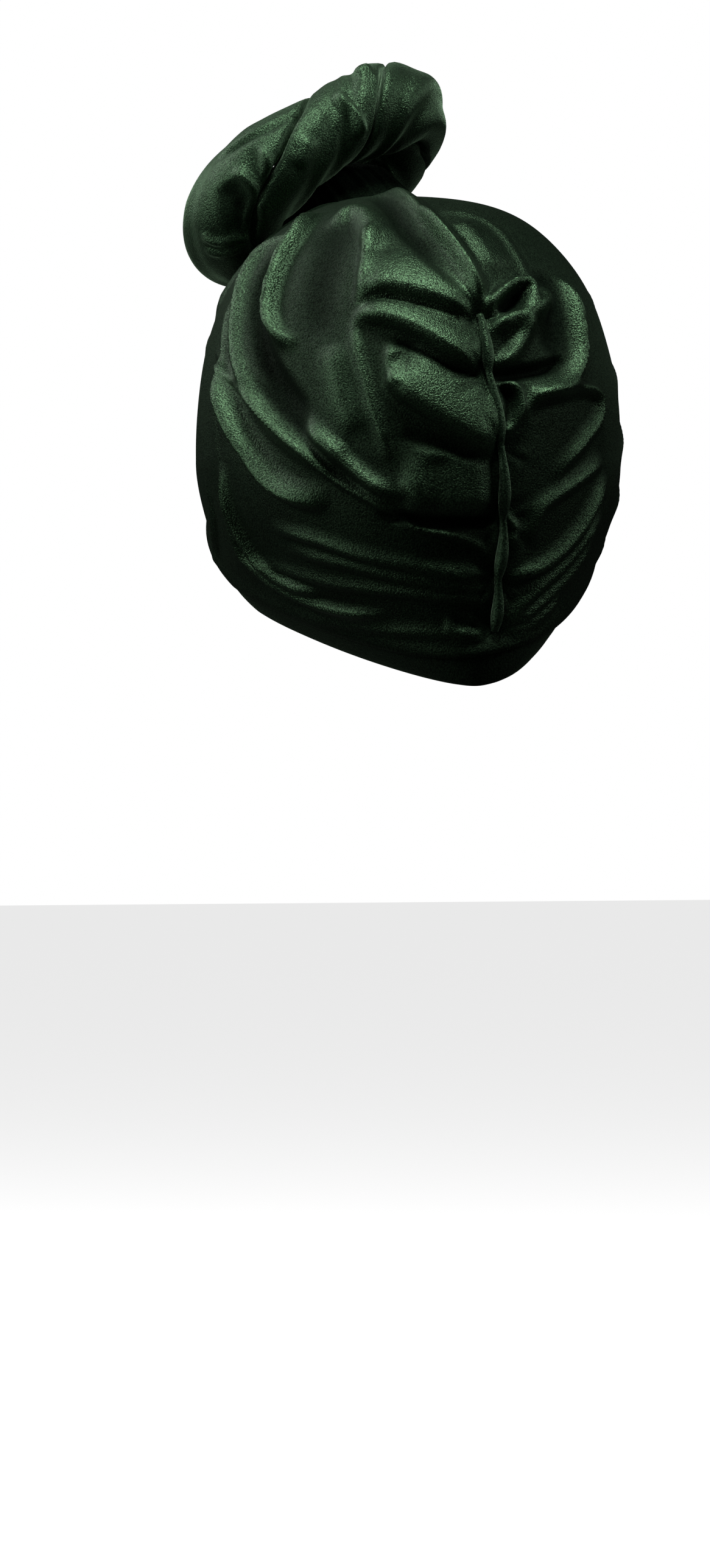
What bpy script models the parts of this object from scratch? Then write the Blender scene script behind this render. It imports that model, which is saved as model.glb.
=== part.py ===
"""Velvet turban headwrap, worn shape: a gathered crown, its centre-back seam, a hem band and a
twisted knot on the top of the front.

The head faces -Y and its left is +X. The origin is where the top of the head touches the inside
of the crown. The shapes are worked out about the head's widest level, and an empty lowers them
all by SEAT_RISE to that origin.
"""
import math

import bmesh
import bpy
import numpy as np
from mathutils import Vector
from mathutils.bvhtree import BVHTree

# Crown sizes
HALF_BREADTH = 0.085
HALF_LENGTH = 0.103
DOME_RISE = 0.108
NAPE_DROP = 0.097
CLOTH = 0.0018
DOME_POWER = 2.4
CHEEK_PULL = 0.73
CHEEK_POWER = 1.72
NAPE_SQUARE = 0.5
NAPE_PULL = 0.168
NAPE_POWER = 1.4
RIM_SLOPE = 0.37
RIM_ROLL = 0.26
ROLL_START = -1.64
ROLL_SPREAD = 0.53
NAPE_END = 1.1

# Height of a full fold of the crown, its half width, the share of it that fades out at each end,
# and the strip over the hem band in which the folds rise from nothing
FOLD_HEIGHT = 0.0060
FOLD_WIDTH = 0.0130
FOLD_TAPER = 0.2
CALM_STRIP = 0.012

# Hem band sizes
BAND_HEIGHT = 0.016
BAND_THICK = 0.0024

# Back seam sizes
SEAM_WIDTH = 0.0050
SEAM_RISE = 0.0032
SEAM_NARROW = 0.5
PINCH_DEPTH = 0.8
PINCH_SPREAD = 2.0

# Knot sizes
KNOT_HALF_WIDTH = 0.0430
KNOT_HALF_DEPTH = 0.0255
ROPE_RADIUS = 0.0185
KNOT_STAND = 0.0305
KNOT_SIDE_TILT = 27.0
KNOT_PITCH = 45.0
LOOP_POWER = 2.5
STRAND_HEART = 0.42
STRAND_SOFT = 7.0
NECK_FLARE = 0.010
NECK_DRAW = 0.55
NECK_TOP = 0.007
NECK_GATHER = 0.0008
NECK_WAIST = 0.75
NECK_END = 1.35

# Clearances between sewn or touching pieces
GAP = 0.0004
STRAND_GAP = 0.0005

# Mesh fineness
CROWN_COLUMNS = 60
CROWN_ROWS = 29
BACK_CROWDING = 0.33
LOOP_STATIONS = 56
STRAND_SIDES = 12
SEAM_STATIONS = 46
NECK_SIDES = LOOP_STATIONS // 2
PATH_STATIONS = 24
SPAN_STEPS = 16
HALVINGS = 34
SLOPE_STEP = 0.0004

# How far a ray is followed out of the middle of the head
REACH = 2.4 * HALF_LENGTH

SEAT_RISE = DOME_RISE - CLOTH
RIM_LEVEL = -NAPE_DROP * 0.65
UP = np.array([0.0, 0.0, 1.0])

# Base colour of each piece's velvet
COLOURS = {
    "crown": (0.010, 0.040, 0.022),
    "back_seam": (0.012, 0.045, 0.025),
    "hem_band": (0.008, 0.030, 0.017),
    "knot_strand_a": (0.016, 0.060, 0.033),
    "knot_strand_b": (0.020, 0.072, 0.040),
    "knot_neck": (0.006, 0.024, 0.013),
}
VELVET_ROUGHNESS = 0.75

# The folds are charted in one view, from behind and to the head's left, below the widest level
VIEW_AZIMUTH = 157.0
VIEW_DISTANCE = 2.6
VIEW_DROP = 0.135
VIEW_ASIDE = -0.0214

# Folds of the crown: name, shares of FOLD_HEIGHT and FOLD_WIDTH, lean from -1 to 1 towards the
# steep side, and points as shares across (of half the view's width) and up (of the dome's rise)
CROWN_FOLDS = [
    ("crest", 0.9, 1.1, 0.3,
     [(-0.16, 1.08), (-0.05, 1.01), (0.09, 0.87), (0.23, 0.71), (0.34, 0.55)]),
    ("under_crest", -0.6, 0.8, 0.0,
     [(-0.10, 0.84), (0.05, 0.72), (0.20, 0.64), (0.30, 0.56)]),
    ("upper_left", 1.0, 1.2, -0.4,
     [(-0.25, 0.94), (-0.16, 0.86), (-0.12, 0.76), (0.03, 0.65), (0.30, 0.55)]),
    ("upper_gap", -0.9, 0.5, 0.0,
     [(-0.20, 0.61), (-0.05, 0.61), (0.09, 0.59), (0.32, 0.53)]),
    ("second_left", 1.0, 0.9, -0.3,
     [(-0.22, 0.56), (-0.05, 0.55), (0.09, 0.51), (0.26, 0.42), (0.37, 0.34)]),
    ("second_gap", -0.7, 0.5, 0.0,
     [(-0.04, 0.45), (0.09, 0.38), (0.35, 0.32)]),
    ("third_left", 0.8, 1.1, -0.3,
     [(-0.06, 0.44), (-0.02, 0.34), (0.09, 0.25), (0.26, 0.16), (0.42, 0.05)]),
    ("low_gap", -0.7, 0.6, 0.2,
     [(-0.08, -0.22), (0.09, -0.25), (0.23, -0.26), (0.43, -0.23)]),
    ("long_left", 0.7, 0.8, 0.5,
     [(-0.90, 0.42), (-0.76, 0.27), (-0.62, 0.14), (-0.33, -0.08), (-0.08, -0.22),
      (0.15, -0.30), (0.42, -0.43)]),
    ("nape_one", 0.6, 0.8, 0.2,
     [(-0.62, -0.28), (-0.42, -0.31), (-0.19, -0.39), (0.09, -0.43), (0.41, -0.46)]),
    ("nape_two", 0.5, 0.8, 0.2,
     [(-0.70, -0.40), (-0.48, -0.46), (-0.19, -0.51), (0.09, -0.54), (0.38, -0.53)]),
    ("side_sweep", 0.8, 0.7, 0.3,
     [(-0.93, 0.0), (-0.87, -0.19), (-0.79, -0.33), (-0.62, -0.47), (-0.31, -0.58),
      (-0.05, -0.61)]),
    ("nape_low", 0.5, 0.6, 0.2,
     [(-0.76, -0.56), (-0.48, -0.64), (-0.19, -0.73), (0.09, -0.76), (0.37, -0.72)]),
    ("shoulder_bright", 1.0, 0.8, 0.4,
     [(-0.42, 0.93), (-0.50, 0.82), (-0.59, 0.72), (-0.63, 0.61), (-0.62, 0.51),
      (-0.55, 0.47)]),
    ("shoulder_hollow", -0.7, 0.8, 0.0,
     [(-0.37, 0.86), (-0.44, 0.72), (-0.50, 0.60), (-0.50, 0.48)]),
    ("shoulder_broad", 0.8, 1.1, 0.2,
     [(-0.53, 0.87), (-0.70, 0.80), (-0.77, 0.70), (-0.81, 0.58), (-0.81, 0.44),
      (-0.77, 0.33), (-0.62, 0.14)]),
    ("middle_thin", 0.5, 0.8, 0.0,
     [(-0.24, 0.89), (-0.25, 0.75), (-0.28, 0.58), (-0.22, 0.35), (-0.14, 0.14),
      (-0.09, -0.01)]),
    ("middle_low", 0.7, 0.9, 0.3,
     [(-0.65, 0.26), (-0.42, 0.16), (-0.28, 0.05), (-0.05, -0.12)]),
    ("left_low", 0.7, 0.7, 0.3,
     [(-0.87, 0.35), (-0.82, 0.23), (-0.65, -0.01), (-0.42, -0.13)]),
    ("left_edge", 0.6, 0.6, 0.0,
     [(-0.91, 0.44), (-0.96, 0.23), (-0.96, 0.02), (-0.91, -0.19), (-0.86, -0.35)]),
    ("right_loop", 0.7, 0.6, 0.3,
     [(0.35, 0.55), (0.40, 0.61), (0.52, 0.67), (0.56, 0.62), (0.52, 0.57)]),
    ("right_top", 0.6, 1.1, 0.0,
     [(0.15, 0.94), (0.37, 0.92), (0.54, 0.82), (0.57, 0.70)]),
    ("right_blob", 0.8, 0.8, 0.2,
     [(0.37, 0.52), (0.52, 0.54), (0.63, 0.60), (0.68, 0.66)]),
    ("right_hook", 1.0, 0.9, -0.4,
     [(0.60, 0.82), (0.74, 0.63), (0.81, 0.44), (0.74, 0.34), (0.54, 0.31), (0.39, 0.32)]),
    ("right_arch", 0.6, 0.8, 0.2,
     [(0.46, 0.05), (0.52, 0.21), (0.66, 0.28), (0.88, 0.26), (0.91, 0.12), (0.77, -0.02)]),
    ("right_low_one", 0.6, 0.8, 0.3,
     [(0.95, 0.02), (0.80, -0.09), (0.63, -0.19), (0.46, -0.23)]),
    ("right_low_two", 0.6, 0.7, 0.3,
     [(0.95, -0.12), (0.83, -0.30), (0.66, -0.42), (0.45, -0.46)]),
    ("right_low_three", 0.6, 0.6, 0.3,
     [(0.93, -0.19), (0.77, -0.40), (0.60, -0.51), (0.42, -0.66)]),
]

# Folds that the front keeps out of that view, the same on both sides: name, shares of
# FOLD_HEIGHT and FOLD_WIDTH, lean, and points as degrees round from the front and shares up
FRONT_FOLDS = [
    ("brow_one", 0.4, 0.7, 0.3, [(6, 0.52), (26, 0.20), (50, -0.02), (80, -0.16)]),
    ("brow_two", 0.4, 0.7, 0.3, [(14, 0.62), (36, 0.38), (60, 0.16), (88, 0.0)]),
    ("temple_one", 0.45, 0.8, 0.2, [(26, 0.68), (50, 0.52), (74, 0.34), (100, 0.18)]),
    ("temple_two", 0.45, 0.8, 0.2, [(44, 0.76), (66, 0.66), (90, 0.52), (112, 0.36)]),
    ("side_top", 0.45, 0.9, 0.2, [(70, 0.88), (92, 0.80), (112, 0.66), (128, 0.50)]),
]

# The centre-back seam: points as shares across and up, and where its gathers are caught
SEAM_LINE = [(0.34, 0.55), (0.38, 0.33), (0.43, 0.05), (0.447, -0.23), (0.425, -0.47),
             (0.405, -0.66)]

# Foot of the knot on the crown: shares of the half breadth and of the half length
KNOT_FOOT = (0.0, -0.44)

# Twist of the two strands round the knot's loop: share of the loop, from its head's-right end
# over the back, and turns of the strands there
STRAND_TWIST = [(0.0, 0.0), (0.07, 0.06), (0.13, 0.20), (0.20, 0.45), (0.28, 0.69),
                (0.36, 0.83), (0.50, 0.97), (0.75, 1.45), (1.0, 2.0)]

# Thickness of the rope round the loop: share of the loop, and share of the rope's radius
ROPE_SWELL = [(0.0, 0.92), (0.13, 1.04), (0.26, 0.88), (0.37, 1.05), (0.50, 1.12), (0.70, 1.0),
              (1.0, 0.92)]


def unit(vectors):
    """Vectors along the last axis, each made 1 long."""
    return vectors / np.linalg.norm(vectors, axis=-1, keepdims=True)


def view_axes():
    """Right, and the way to the eye, of the view in which the folds are charted."""
    turn = math.radians(VIEW_AZIMUTH)
    right = np.array([math.cos(turn), math.sin(turn), 0.0])
    to_eye = np.array([math.sin(turn), -math.cos(turn), 0.0])
    return right, to_eye


def level(points):
    """1 on the crown's smooth form, less inside it and more outside."""
    x, y, z = points[..., 0], points[..., 1], points[..., 2]
    flat = np.hypot(x / HALF_BREADTH, y / HALF_LENGTH)
    rise = np.clip(z, 0.0, None) / DOME_RISE
    dome = (flat ** DOME_POWER + rise ** DOME_POWER) ** (1.0 / DOME_POWER)
    drop = np.clip(-z / NAPE_DROP, 0.0, NAPE_END)
    breadth = HALF_BREADTH * (1.0 - CHEEK_PULL * drop ** CHEEK_POWER)
    length = HALF_LENGTH * (1.0 - NAPE_PULL * drop ** NAPE_POWER)
    power = 2.0 + NAPE_SQUARE * drop
    nape = (np.abs(x / breadth) ** power + np.abs(y / length) ** power) ** (1.0 / power)
    return np.where(z >= 0.0, dome, nape)


def cross_form(start, way, reach):
    """Where rays from inside the smooth form leave it, by halving."""
    near = np.zeros(np.shape(start)[:-1])
    far = near + reach
    for _ in range(HALVINGS):
        middle = 0.5 * (near + far)
        inside = level(start + way * middle[..., None]) < 1.0
        near = np.where(inside, middle, near)
        far = np.where(inside, far, middle)
    return start + way * near[..., None]


def outward(points):
    """Unit normals of the smooth form."""
    steps = np.eye(3) * SLOPE_STEP
    slopes = [level(points + step) - level(points - step) for step in steps]
    return unit(np.stack(slopes, axis=-1))


def onto_form(points):
    """Points moved straight from the middle of the head onto the smooth form."""
    return cross_form(np.zeros_like(points), unit(points), REACH)


def seen_point(across, up):
    """The point of the smooth form that the charting view shows at these shares."""
    right, to_eye = view_axes()
    half_view = math.hypot(right[0] * HALF_BREADTH, right[1] * HALF_LENGTH)
    eye = to_eye * VIEW_DISTANCE + right * VIEW_ASIDE - UP * VIEW_DROP
    start = right * across * half_view + UP * up * DOME_RISE
    way = unit(eye - start)
    if level(start) < 1.0:
        return cross_form(start, way, REACH)
    steps = start + way * np.linspace(-0.06, 0.06, 61)[:, None]
    return onto_form(steps[np.argmin(level(steps))])


def round_point(degrees, up):
    """The point of the smooth form at a turn from the front and a share up."""
    turn = math.radians(degrees)
    middle = UP * up * DOME_RISE
    way = np.array([math.sin(turn), -math.cos(turn), 0.0])
    return cross_form(middle, way, REACH)


def smooth_path(points, count):
    """A smooth path through points, as count points at even spacing."""
    points = np.asarray(points, dtype=float)
    ends = np.vstack([2 * points[0] - points[1], points, 2 * points[-1] - points[-2]])
    spans = []
    for first in range(len(points) - 1):
        a, b, c, d = ends[first:first + 4]
        for share in np.linspace(0.0, 1.0, SPAN_STEPS, endpoint=False):
            spans.append(0.5 * (2 * b + (c - a) * share + (2 * a - 5 * b + 4 * c - d) * share ** 2
                                + (3 * b - a - 3 * c + d) * share ** 3))
    spans.append(points[-1])
    spans = np.array(spans)
    along = np.concatenate([[0.0], np.cumsum(np.linalg.norm(np.diff(spans, axis=0), axis=1))])
    marks = np.linspace(0.0, along[-1], count)
    return np.stack([np.interp(marks, along, spans[:, axis]) for axis in range(3)], axis=-1)


def fold_paths():
    """Height, half width, lean and path on the form of every fold."""
    folds = []
    for _, height, width, lean, chart in CROWN_FOLDS:
        path = smooth_path([seen_point(*mark) for mark in chart], PATH_STATIONS)
        folds.append((height * FOLD_HEIGHT, width * FOLD_WIDTH, lean, onto_form(path)))
    for _, height, width, lean, chart in FRONT_FOLDS:
        for side in (1, -1):
            marks = [round_point(side * turn, up) for turn, up in chart]
            path = onto_form(smooth_path(marks, PATH_STATIONS))
            folds.append((height * FOLD_HEIGHT, width * FOLD_WIDTH, lean * side, path))
    return folds


def relief(points, normals, folds):
    """How far the folds lift each point of the form."""
    lift = np.zeros(len(points))
    for height, width, lean, path in folds:
        gaps = points[:, None, :] - path[None, :, :]
        nearest = np.argmin(np.einsum("pci,pci->pc", gaps, gaps), axis=1)
        steps = np.gradient(path, axis=0)[nearest]
        offset = gaps[np.arange(len(points)), nearest]
        aside = np.einsum("pi,pi->p", np.cross(unit(steps), normals), offset)
        spans = np.linalg.norm(steps, axis=1)
        past = np.einsum("pi,pi->p", steps, offset) / spans
        ends = np.minimum(nearest + past / spans, len(path) - 1 - nearest - past / spans)
        fade = np.sin(0.5 * math.pi * np.clip(ends / (FOLD_TAPER * len(path)), 0.0, 1.0))
        away = np.sqrt(np.maximum(np.einsum("pi,pi->p", offset, offset) - past ** 2, 0.0))
        share = np.clip(away / (width * (1.0 + lean * np.sign(aside))), 0.0, 1.0)
        lift += height * fade * 0.5 * (1.0 + np.cos(math.pi * share))
    return lift


def above_rim(points):
    """Height of points above the sloping edge of the head opening, rolled at the back."""
    x, y, z = points[..., 0], points[..., 1], points[..., 2]
    roll = RIM_ROLL * np.clip(y / (ROLL_SPREAD * HALF_LENGTH) - ROLL_START, 0.0, 1.0)
    return z - (RIM_LEVEL - RIM_SLOPE * y - roll * x)


def knot_foot():
    """The point of the smooth form under the middle of the knot."""
    start = np.array([KNOT_FOOT[0] * HALF_BREADTH, KNOT_FOOT[1] * HALF_LENGTH, 0.0])
    return cross_form(start, UP, REACH)


def column_ways():
    """Ways out of the crown's axis to its columns, closer together at the gathered back."""
    spread = np.arange(CROWN_COLUMNS) * math.tau / CROWN_COLUMNS
    turns = spread - BACK_CROWDING * np.sin(spread)
    return np.stack([np.sin(turns), np.cos(turns), np.zeros(CROWN_COLUMNS)], axis=-1)


def column_points(aside, heights):
    """Polar angles and points of one column of the form at these heights above the rim."""
    found = []
    for height in heights:
        low, high = math.radians(30), math.radians(172)
        for _ in range(30):
            middle = 0.5 * (low + high)
            way = UP * math.cos(middle) + aside * math.sin(middle)
            point = cross_form(np.zeros(3), way, REACH)
            if above_rim(point) > height:
                low = middle
            else:
                high = middle
        found.append((low, point))
    return found


def crown_grid():
    """Rows of points of the folded crown, from its pole down to its edge."""
    aside = column_ways()
    ends = np.array([column_points(way, [BAND_HEIGHT])[0][0] for way in aside])
    shares = np.linspace(0.0, 1.0, CROWN_ROWS + 1)[1:, None]
    bend = shares * ends[None, :]
    ways = np.cos(bend)[..., None] * UP + np.sin(bend)[..., None] * aside[None]
    grid = cross_form(np.zeros_like(ways), ways, REACH)
    top = cross_form(np.zeros(3), UP, REACH)
    points = np.vstack([top[None], grid.reshape(-1, 3)])
    normals = outward(points)
    folds = fold_paths()
    calm = np.clip((above_rim(points) - BAND_HEIGHT) / CALM_STRIP, 0.0, 1.0)
    lift = relief(points, normals, folds) * calm
    return points + normals * (lift + neck_swell(points) - pinches(points) * calm)[:, None]


def neck_swell(points):
    """The crown drawn up into the foot of the knot."""
    far = np.linalg.norm(points - knot_foot(), axis=1) / (KNOT_HALF_DEPTH + NECK_FLARE)
    return NECK_DRAW * NECK_FLARE * np.exp(-far ** 2)


def pinches(points):
    """Dents where the seam's gathers are caught."""
    dent = np.zeros(len(points))
    for mark in SEAM_LINE:
        far = np.linalg.norm(points - seen_point(*mark), axis=1) / (PINCH_SPREAD * SEAM_WIDTH)
        dent += PINCH_DEPTH * SEAM_RISE * np.exp(-far ** 2)
    return dent


def add_object(name, mesh, parent, collection):
    """One named piece with its own cloth material."""
    piece = bpy.data.objects.new(name, mesh)
    piece.parent = parent
    collection.objects.link(piece)
    material = bpy.data.materials.new(name + "_velvet")
    material.use_nodes = True
    shader = material.node_tree.nodes["Principled BSDF"]
    shader.inputs["Base Color"].default_value = (*COLOURS[name], 1.0)
    shader.inputs["Roughness"].default_value = VELVET_ROUGHNESS
    shader.inputs["Metallic"].default_value = 0.0
    mesh.materials.append(material)
    mesh.shade_smooth()
    return piece


def make_mesh(name, points, faces):
    """A mesh from points and faces."""
    mesh = bpy.data.meshes.new(name)
    mesh.from_pydata([tuple(float(value) for value in point) for point in points], [], faces)
    mesh.update()
    return mesh


def closed_piece(name, points, faces, parent, collection):
    """A closed solid through points and faces, with its faces turned outwards."""
    mesh = make_mesh(name, points, faces)
    skin = bmesh.new()
    skin.from_mesh(mesh)
    bmesh.ops.recalc_face_normals(skin, faces=skin.faces)
    skin.to_mesh(mesh)
    skin.free()
    return add_object(name, mesh, parent, collection)


def crown(parent, collection):
    """The draped velvet cap: an open folded surface given the cloth's thickness inwards."""
    points = crown_grid()
    faces = []
    for column in range(CROWN_COLUMNS):
        beside = (column + 1) % CROWN_COLUMNS
        faces.append((0, 1 + beside, 1 + column))
        for row in range(CROWN_ROWS - 1):
            upper = 1 + row * CROWN_COLUMNS
            lower = upper + CROWN_COLUMNS
            a, b, c, d = upper + column, lower + column, lower + beside, upper + beside
            one = np.linalg.norm(points[a] - points[c])
            other = np.linalg.norm(points[b] - points[d])
            faces += [(a, c, b), (a, d, c)] if one < other else [(a, d, b), (b, d, c)]
    mesh = make_mesh("crown", points, faces)
    piece = add_object("crown", mesh, parent, collection)
    shell = piece.modifiers.new("cloth", "SOLIDIFY")
    shell.thickness = CLOTH
    shell.offset = -1.0
    return BVHTree.FromPolygons([Vector(point) for point in points], faces)


def tube_faces(rings, sides, points):
    """Faces round a closed loop of rings, each split on the diagonal nearer its own middle."""
    centres = points.reshape(rings, sides, 3).mean(axis=1)
    faces = []
    for ring in range(rings):
        after = (ring + 1) % rings
        middle = 0.5 * (centres[ring] + centres[after])
        for side in range(sides):
            beside = (side + 1) % sides
            a, b = ring * sides + side, ring * sides + beside
            c, d = after * sides + beside, after * sides + side
            one = np.linalg.norm(0.5 * (points[a] + points[c]) - middle)
            other = np.linalg.norm(0.5 * (points[b] + points[d]) - middle)
            faces += [(a, b, c), (a, c, d)] if one < other else [(a, b, d), (b, c, d)]
    return faces


def hem_band(parent, collection):
    """The doubled band round the head opening, sewn below the crown's edge."""
    sections = []
    heights = [BAND_HEIGHT - GAP, BAND_HEIGHT * 0.5, 0.0]
    for aside in column_ways():
        outer = np.array([point for _, point in column_points(aside, heights)])
        inner = (outer - outward(outer) * BAND_THICK)[::-1]
        sections.append(np.vstack([outer, inner]))
    points = np.array(sections).reshape(-1, 3)
    sides = 2 * len(heights)
    faces = tube_faces(CROWN_COLUMNS, sides, points)
    return closed_piece("hem_band", points, faces, parent, collection)


def seam_rings(path, across, normals, swell, lifts):
    """Outline of the seam's roll at each station: its underside, then its rounded top."""
    half = 0.5 * SEAM_WIDTH * swell
    rings = []
    for share, rise in ((-1.0, 0.0), (0.0, 0.0), (1.0, 0.0), (0.8, 0.7), (0.0, 1.0), (-0.8, 0.7)):
        lift = lifts + SEAM_RISE * rise * swell
        rings.append(path + across * (share * half)[:, None] + normals * lift[:, None])
    return np.stack(rings, axis=1)


def back_seam(tree, parent, collection):
    """The rolled seam down the back, pinched where its gathers are caught."""
    marks = np.array([seen_point(*mark) for mark in SEAM_LINE])
    path = onto_form(smooth_path(marks, SEAM_STATIONS))
    normals = outward(path)
    across = np.cross(unit(np.gradient(path, axis=0)), normals)
    caught = [np.argmin(np.linalg.norm(path - mark, axis=1)) for mark in marks]
    full = np.interp(np.arange(SEAM_STATIONS), caught, np.arange(len(caught)))
    swell = SEAM_NARROW + (1.0 - SEAM_NARROW) * np.abs(np.sin(math.pi * full))
    lifts = np.full(SEAM_STATIONS, -SEAM_RISE)
    for _ in range(40):
        under = seam_rings(path, across, normals, swell, lifts)[:, :3]
        short = np.zeros(SEAM_STATIONS)
        for station in range(SEAM_STATIONS - 1):
            for share in np.linspace(0.0, 1.0, 5):
                row = under[station] * (1.0 - share) + under[station + 1] * share
                probes = np.vstack([row, 0.5 * (row[:-1] + row[1:])])
                need = 1.5 * GAP - min(clear_of(tree, probe) for probe in probes)
                short[station:station + 2] = np.maximum(short[station:station + 2], need)
        lifts += np.clip(short, 0.0, None)
    points = seam_rings(path, across, normals, swell, lifts).reshape(-1, 3)
    faces = strip_faces(SEAM_STATIONS, 6)
    return closed_piece("back_seam", points, faces, parent, collection)


def strip_faces(rings, sides):
    """Faces along an open run of rings, with both ends closed."""
    faces = [tuple(range(sides)), tuple((rings - 1) * sides + side for side in range(sides))]
    for ring in range(rings - 1):
        for side in range(sides):
            a, b = ring * sides + side, ring * sides + (side + 1) % sides
            faces.append((a, b, b + sides, a + sides))
    return faces


def loop_axes():
    """The ways along the knot's width and its depth, and out of its face."""
    tilt, pitch = math.radians(KNOT_SIDE_TILT), math.radians(KNOT_PITCH)
    wide = np.array([-math.cos(tilt), 0.0, math.sin(tilt)])
    deep = np.array([0.0, math.cos(pitch), math.sin(pitch)])
    return wide, deep, unit(np.cross(deep, wide))


def loop_frames(place):
    """Centres of the rope round the knot's loop, and two directions square to it at each."""
    wide, deep, face = loop_axes()
    turns = np.arange(LOOP_STATIONS) * math.tau / LOOP_STATIONS
    power = 2.0 / LOOP_POWER
    across = np.sign(np.cos(turns)) * np.abs(np.cos(turns)) ** power * KNOT_HALF_WIDTH
    back = np.sign(np.sin(turns)) * np.abs(np.sin(turns)) ** power * KNOT_HALF_DEPTH
    rough = across[:, None] * wide + back[:, None] * deep
    along = np.concatenate([[0.0], np.cumsum(np.linalg.norm(np.diff(
        np.vstack([rough, rough[:1]]), axis=0), axis=1))])
    marks = np.arange(LOOP_STATIONS) * along[-1] / LOOP_STATIONS
    closed = np.vstack([rough, rough[:1]])
    even = np.stack([np.interp(marks, along, closed[:, axis]) for axis in range(3)], axis=-1)
    even = 0.25 * np.roll(even, 1, axis=0) + 0.5 * even + 0.25 * np.roll(even, -1, axis=0)
    ahead = unit(np.roll(even, -1, axis=0) - np.roll(even, 1, axis=0))
    out = unit(np.cross(face, ahead))
    return place + even, out, np.broadcast_to(face, out.shape)


def strand_section(radius):
    """Outline of one strand: a half round with soft corners, flat towards its fellow."""
    heart = STRAND_HEART * radius
    turns = np.arange(STRAND_SIDES) * math.tau / STRAND_SIDES
    cosine = np.cos(turns)
    to_round = -heart * cosine + np.sqrt(radius ** 2 - (heart * np.sin(turns)) ** 2)
    to_flat = (heart - 0.5 * STRAND_GAP) / np.clip(-cosine, 1e-6, None)
    length = (to_round ** -STRAND_SOFT + to_flat ** -STRAND_SOFT) ** (-1.0 / STRAND_SOFT)
    return np.stack([heart + length * cosine, length * np.sin(turns)], axis=-1)


def strand_points(place, half_turn):
    """Points of one strand of the twisted rope."""
    centres, out, face = loop_frames(place)
    shares = np.arange(LOOP_STATIONS) / LOOP_STATIONS
    twist = half_turn - np.interp(shares, *zip(*STRAND_TWIST)) * math.tau
    swell = np.interp(shares, *zip(*ROPE_SWELL)) * ROPE_RADIUS
    points = []
    for station in range(LOOP_STATIONS):
        cosine, sine = math.cos(twist[station]), math.sin(twist[station])
        one = out[station] * cosine + face[station] * sine
        other = -out[station] * sine + face[station] * cosine
        for share_one, share_other in strand_section(swell[station]):
            points.append(centres[station] + one * share_one + other * share_other)
    return np.array(points)


def knot_place(tree):
    """The middle of the knot's loop: off its foot, and far enough for the rope to clear."""
    face = loop_axes()[2]
    place = knot_foot() + face * KNOT_STAND
    for _ in range(6):
        both = np.vstack([strand_points(place, 0.0), strand_points(place, math.pi)])
        room = min(clear_of(tree, point) for point in both)
        place = place + face * max(2.0 * GAP - room, 0.0)
    return place


def clear_of(tree, point):
    """Signed distance of a point outside the crown's surface."""
    near, normal, _, _ = tree.find_nearest(Vector(point))
    return (Vector(point) - near).dot(normal)


def knot_strand(name, place, half_turn, parent, collection):
    """One of the two tails of the wrap, twisted round the other and coiled into a loop."""
    points = strand_points(place, half_turn)
    faces = tube_faces(LOOP_STATIONS, STRAND_SIDES, points)
    return closed_piece(name, points, faces, parent, collection)


def neck_ring(place, height):
    """An oval ring of the neck at each side's height over the loop's plane, clear of the rope."""
    wide, deep, face = loop_axes()
    turns = np.arange(NECK_SIDES) * math.tau / NECK_SIDES
    swell = np.interp(turns / math.tau, *zip(*ROPE_SWELL)) * ROPE_RADIUS + 4.0 * GAP
    room = np.sqrt(np.maximum(swell ** 2 - height ** 2, (NECK_WAIST * swell) ** 2))
    gather = NECK_GATHER * (np.arange(NECK_SIDES) % 2)
    room = room / math.sqrt(1.0 - np.dot(wide, deep) ** 2) + gather
    across = (np.cos(turns) * (KNOT_HALF_WIDTH - NECK_END * room))[:, None] * wide
    back = (np.sin(turns) * (KNOT_HALF_DEPTH - room))[:, None] * deep
    return place + across + back + face * np.broadcast_to(height, (NECK_SIDES,))[:, None]


def drop_to_crown(tree, point, face):
    """Height over the loop's plane, below zero, at which a point would rest on the crown."""
    hit = tree.ray_cast(Vector(point), Vector(-face))[0]
    return 2.0 * GAP - (Vector(point) - hit).length


def neck_foot(tree, edge, face):
    """Rings of the neck's underside, from its edge to its middle, just clear of the crown."""
    middle = edge.mean(axis=0)
    rings = []
    for share in (1.0, 0.66, 0.33):
        ring = middle + share * (edge - middle)
        rest = np.array([drop_to_crown(tree, point, face) for point in ring])
        rings.append(ring + face * rest[:, None])
    rings.append(middle[None] + face * drop_to_crown(tree, middle, face))
    rings[3] = np.repeat(rings[3], len(edge), axis=0)
    rings = np.stack(rings)
    for _ in range(8):
        beside = np.roll(rings, 1, axis=1)
        probes = [rings, 0.5 * (rings + beside), 0.5 * (rings[1:] + rings[:-1]),
                  0.5 * (rings[1:] + beside[:-1]), 0.5 * (rings[:-1] + beside[1:])]
        room = min(clear_of(tree, point) for group in probes for point in group.reshape(-1, 3))
        rings = rings + face * max(1.2 * GAP - room, 0.0)
    return rings


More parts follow.
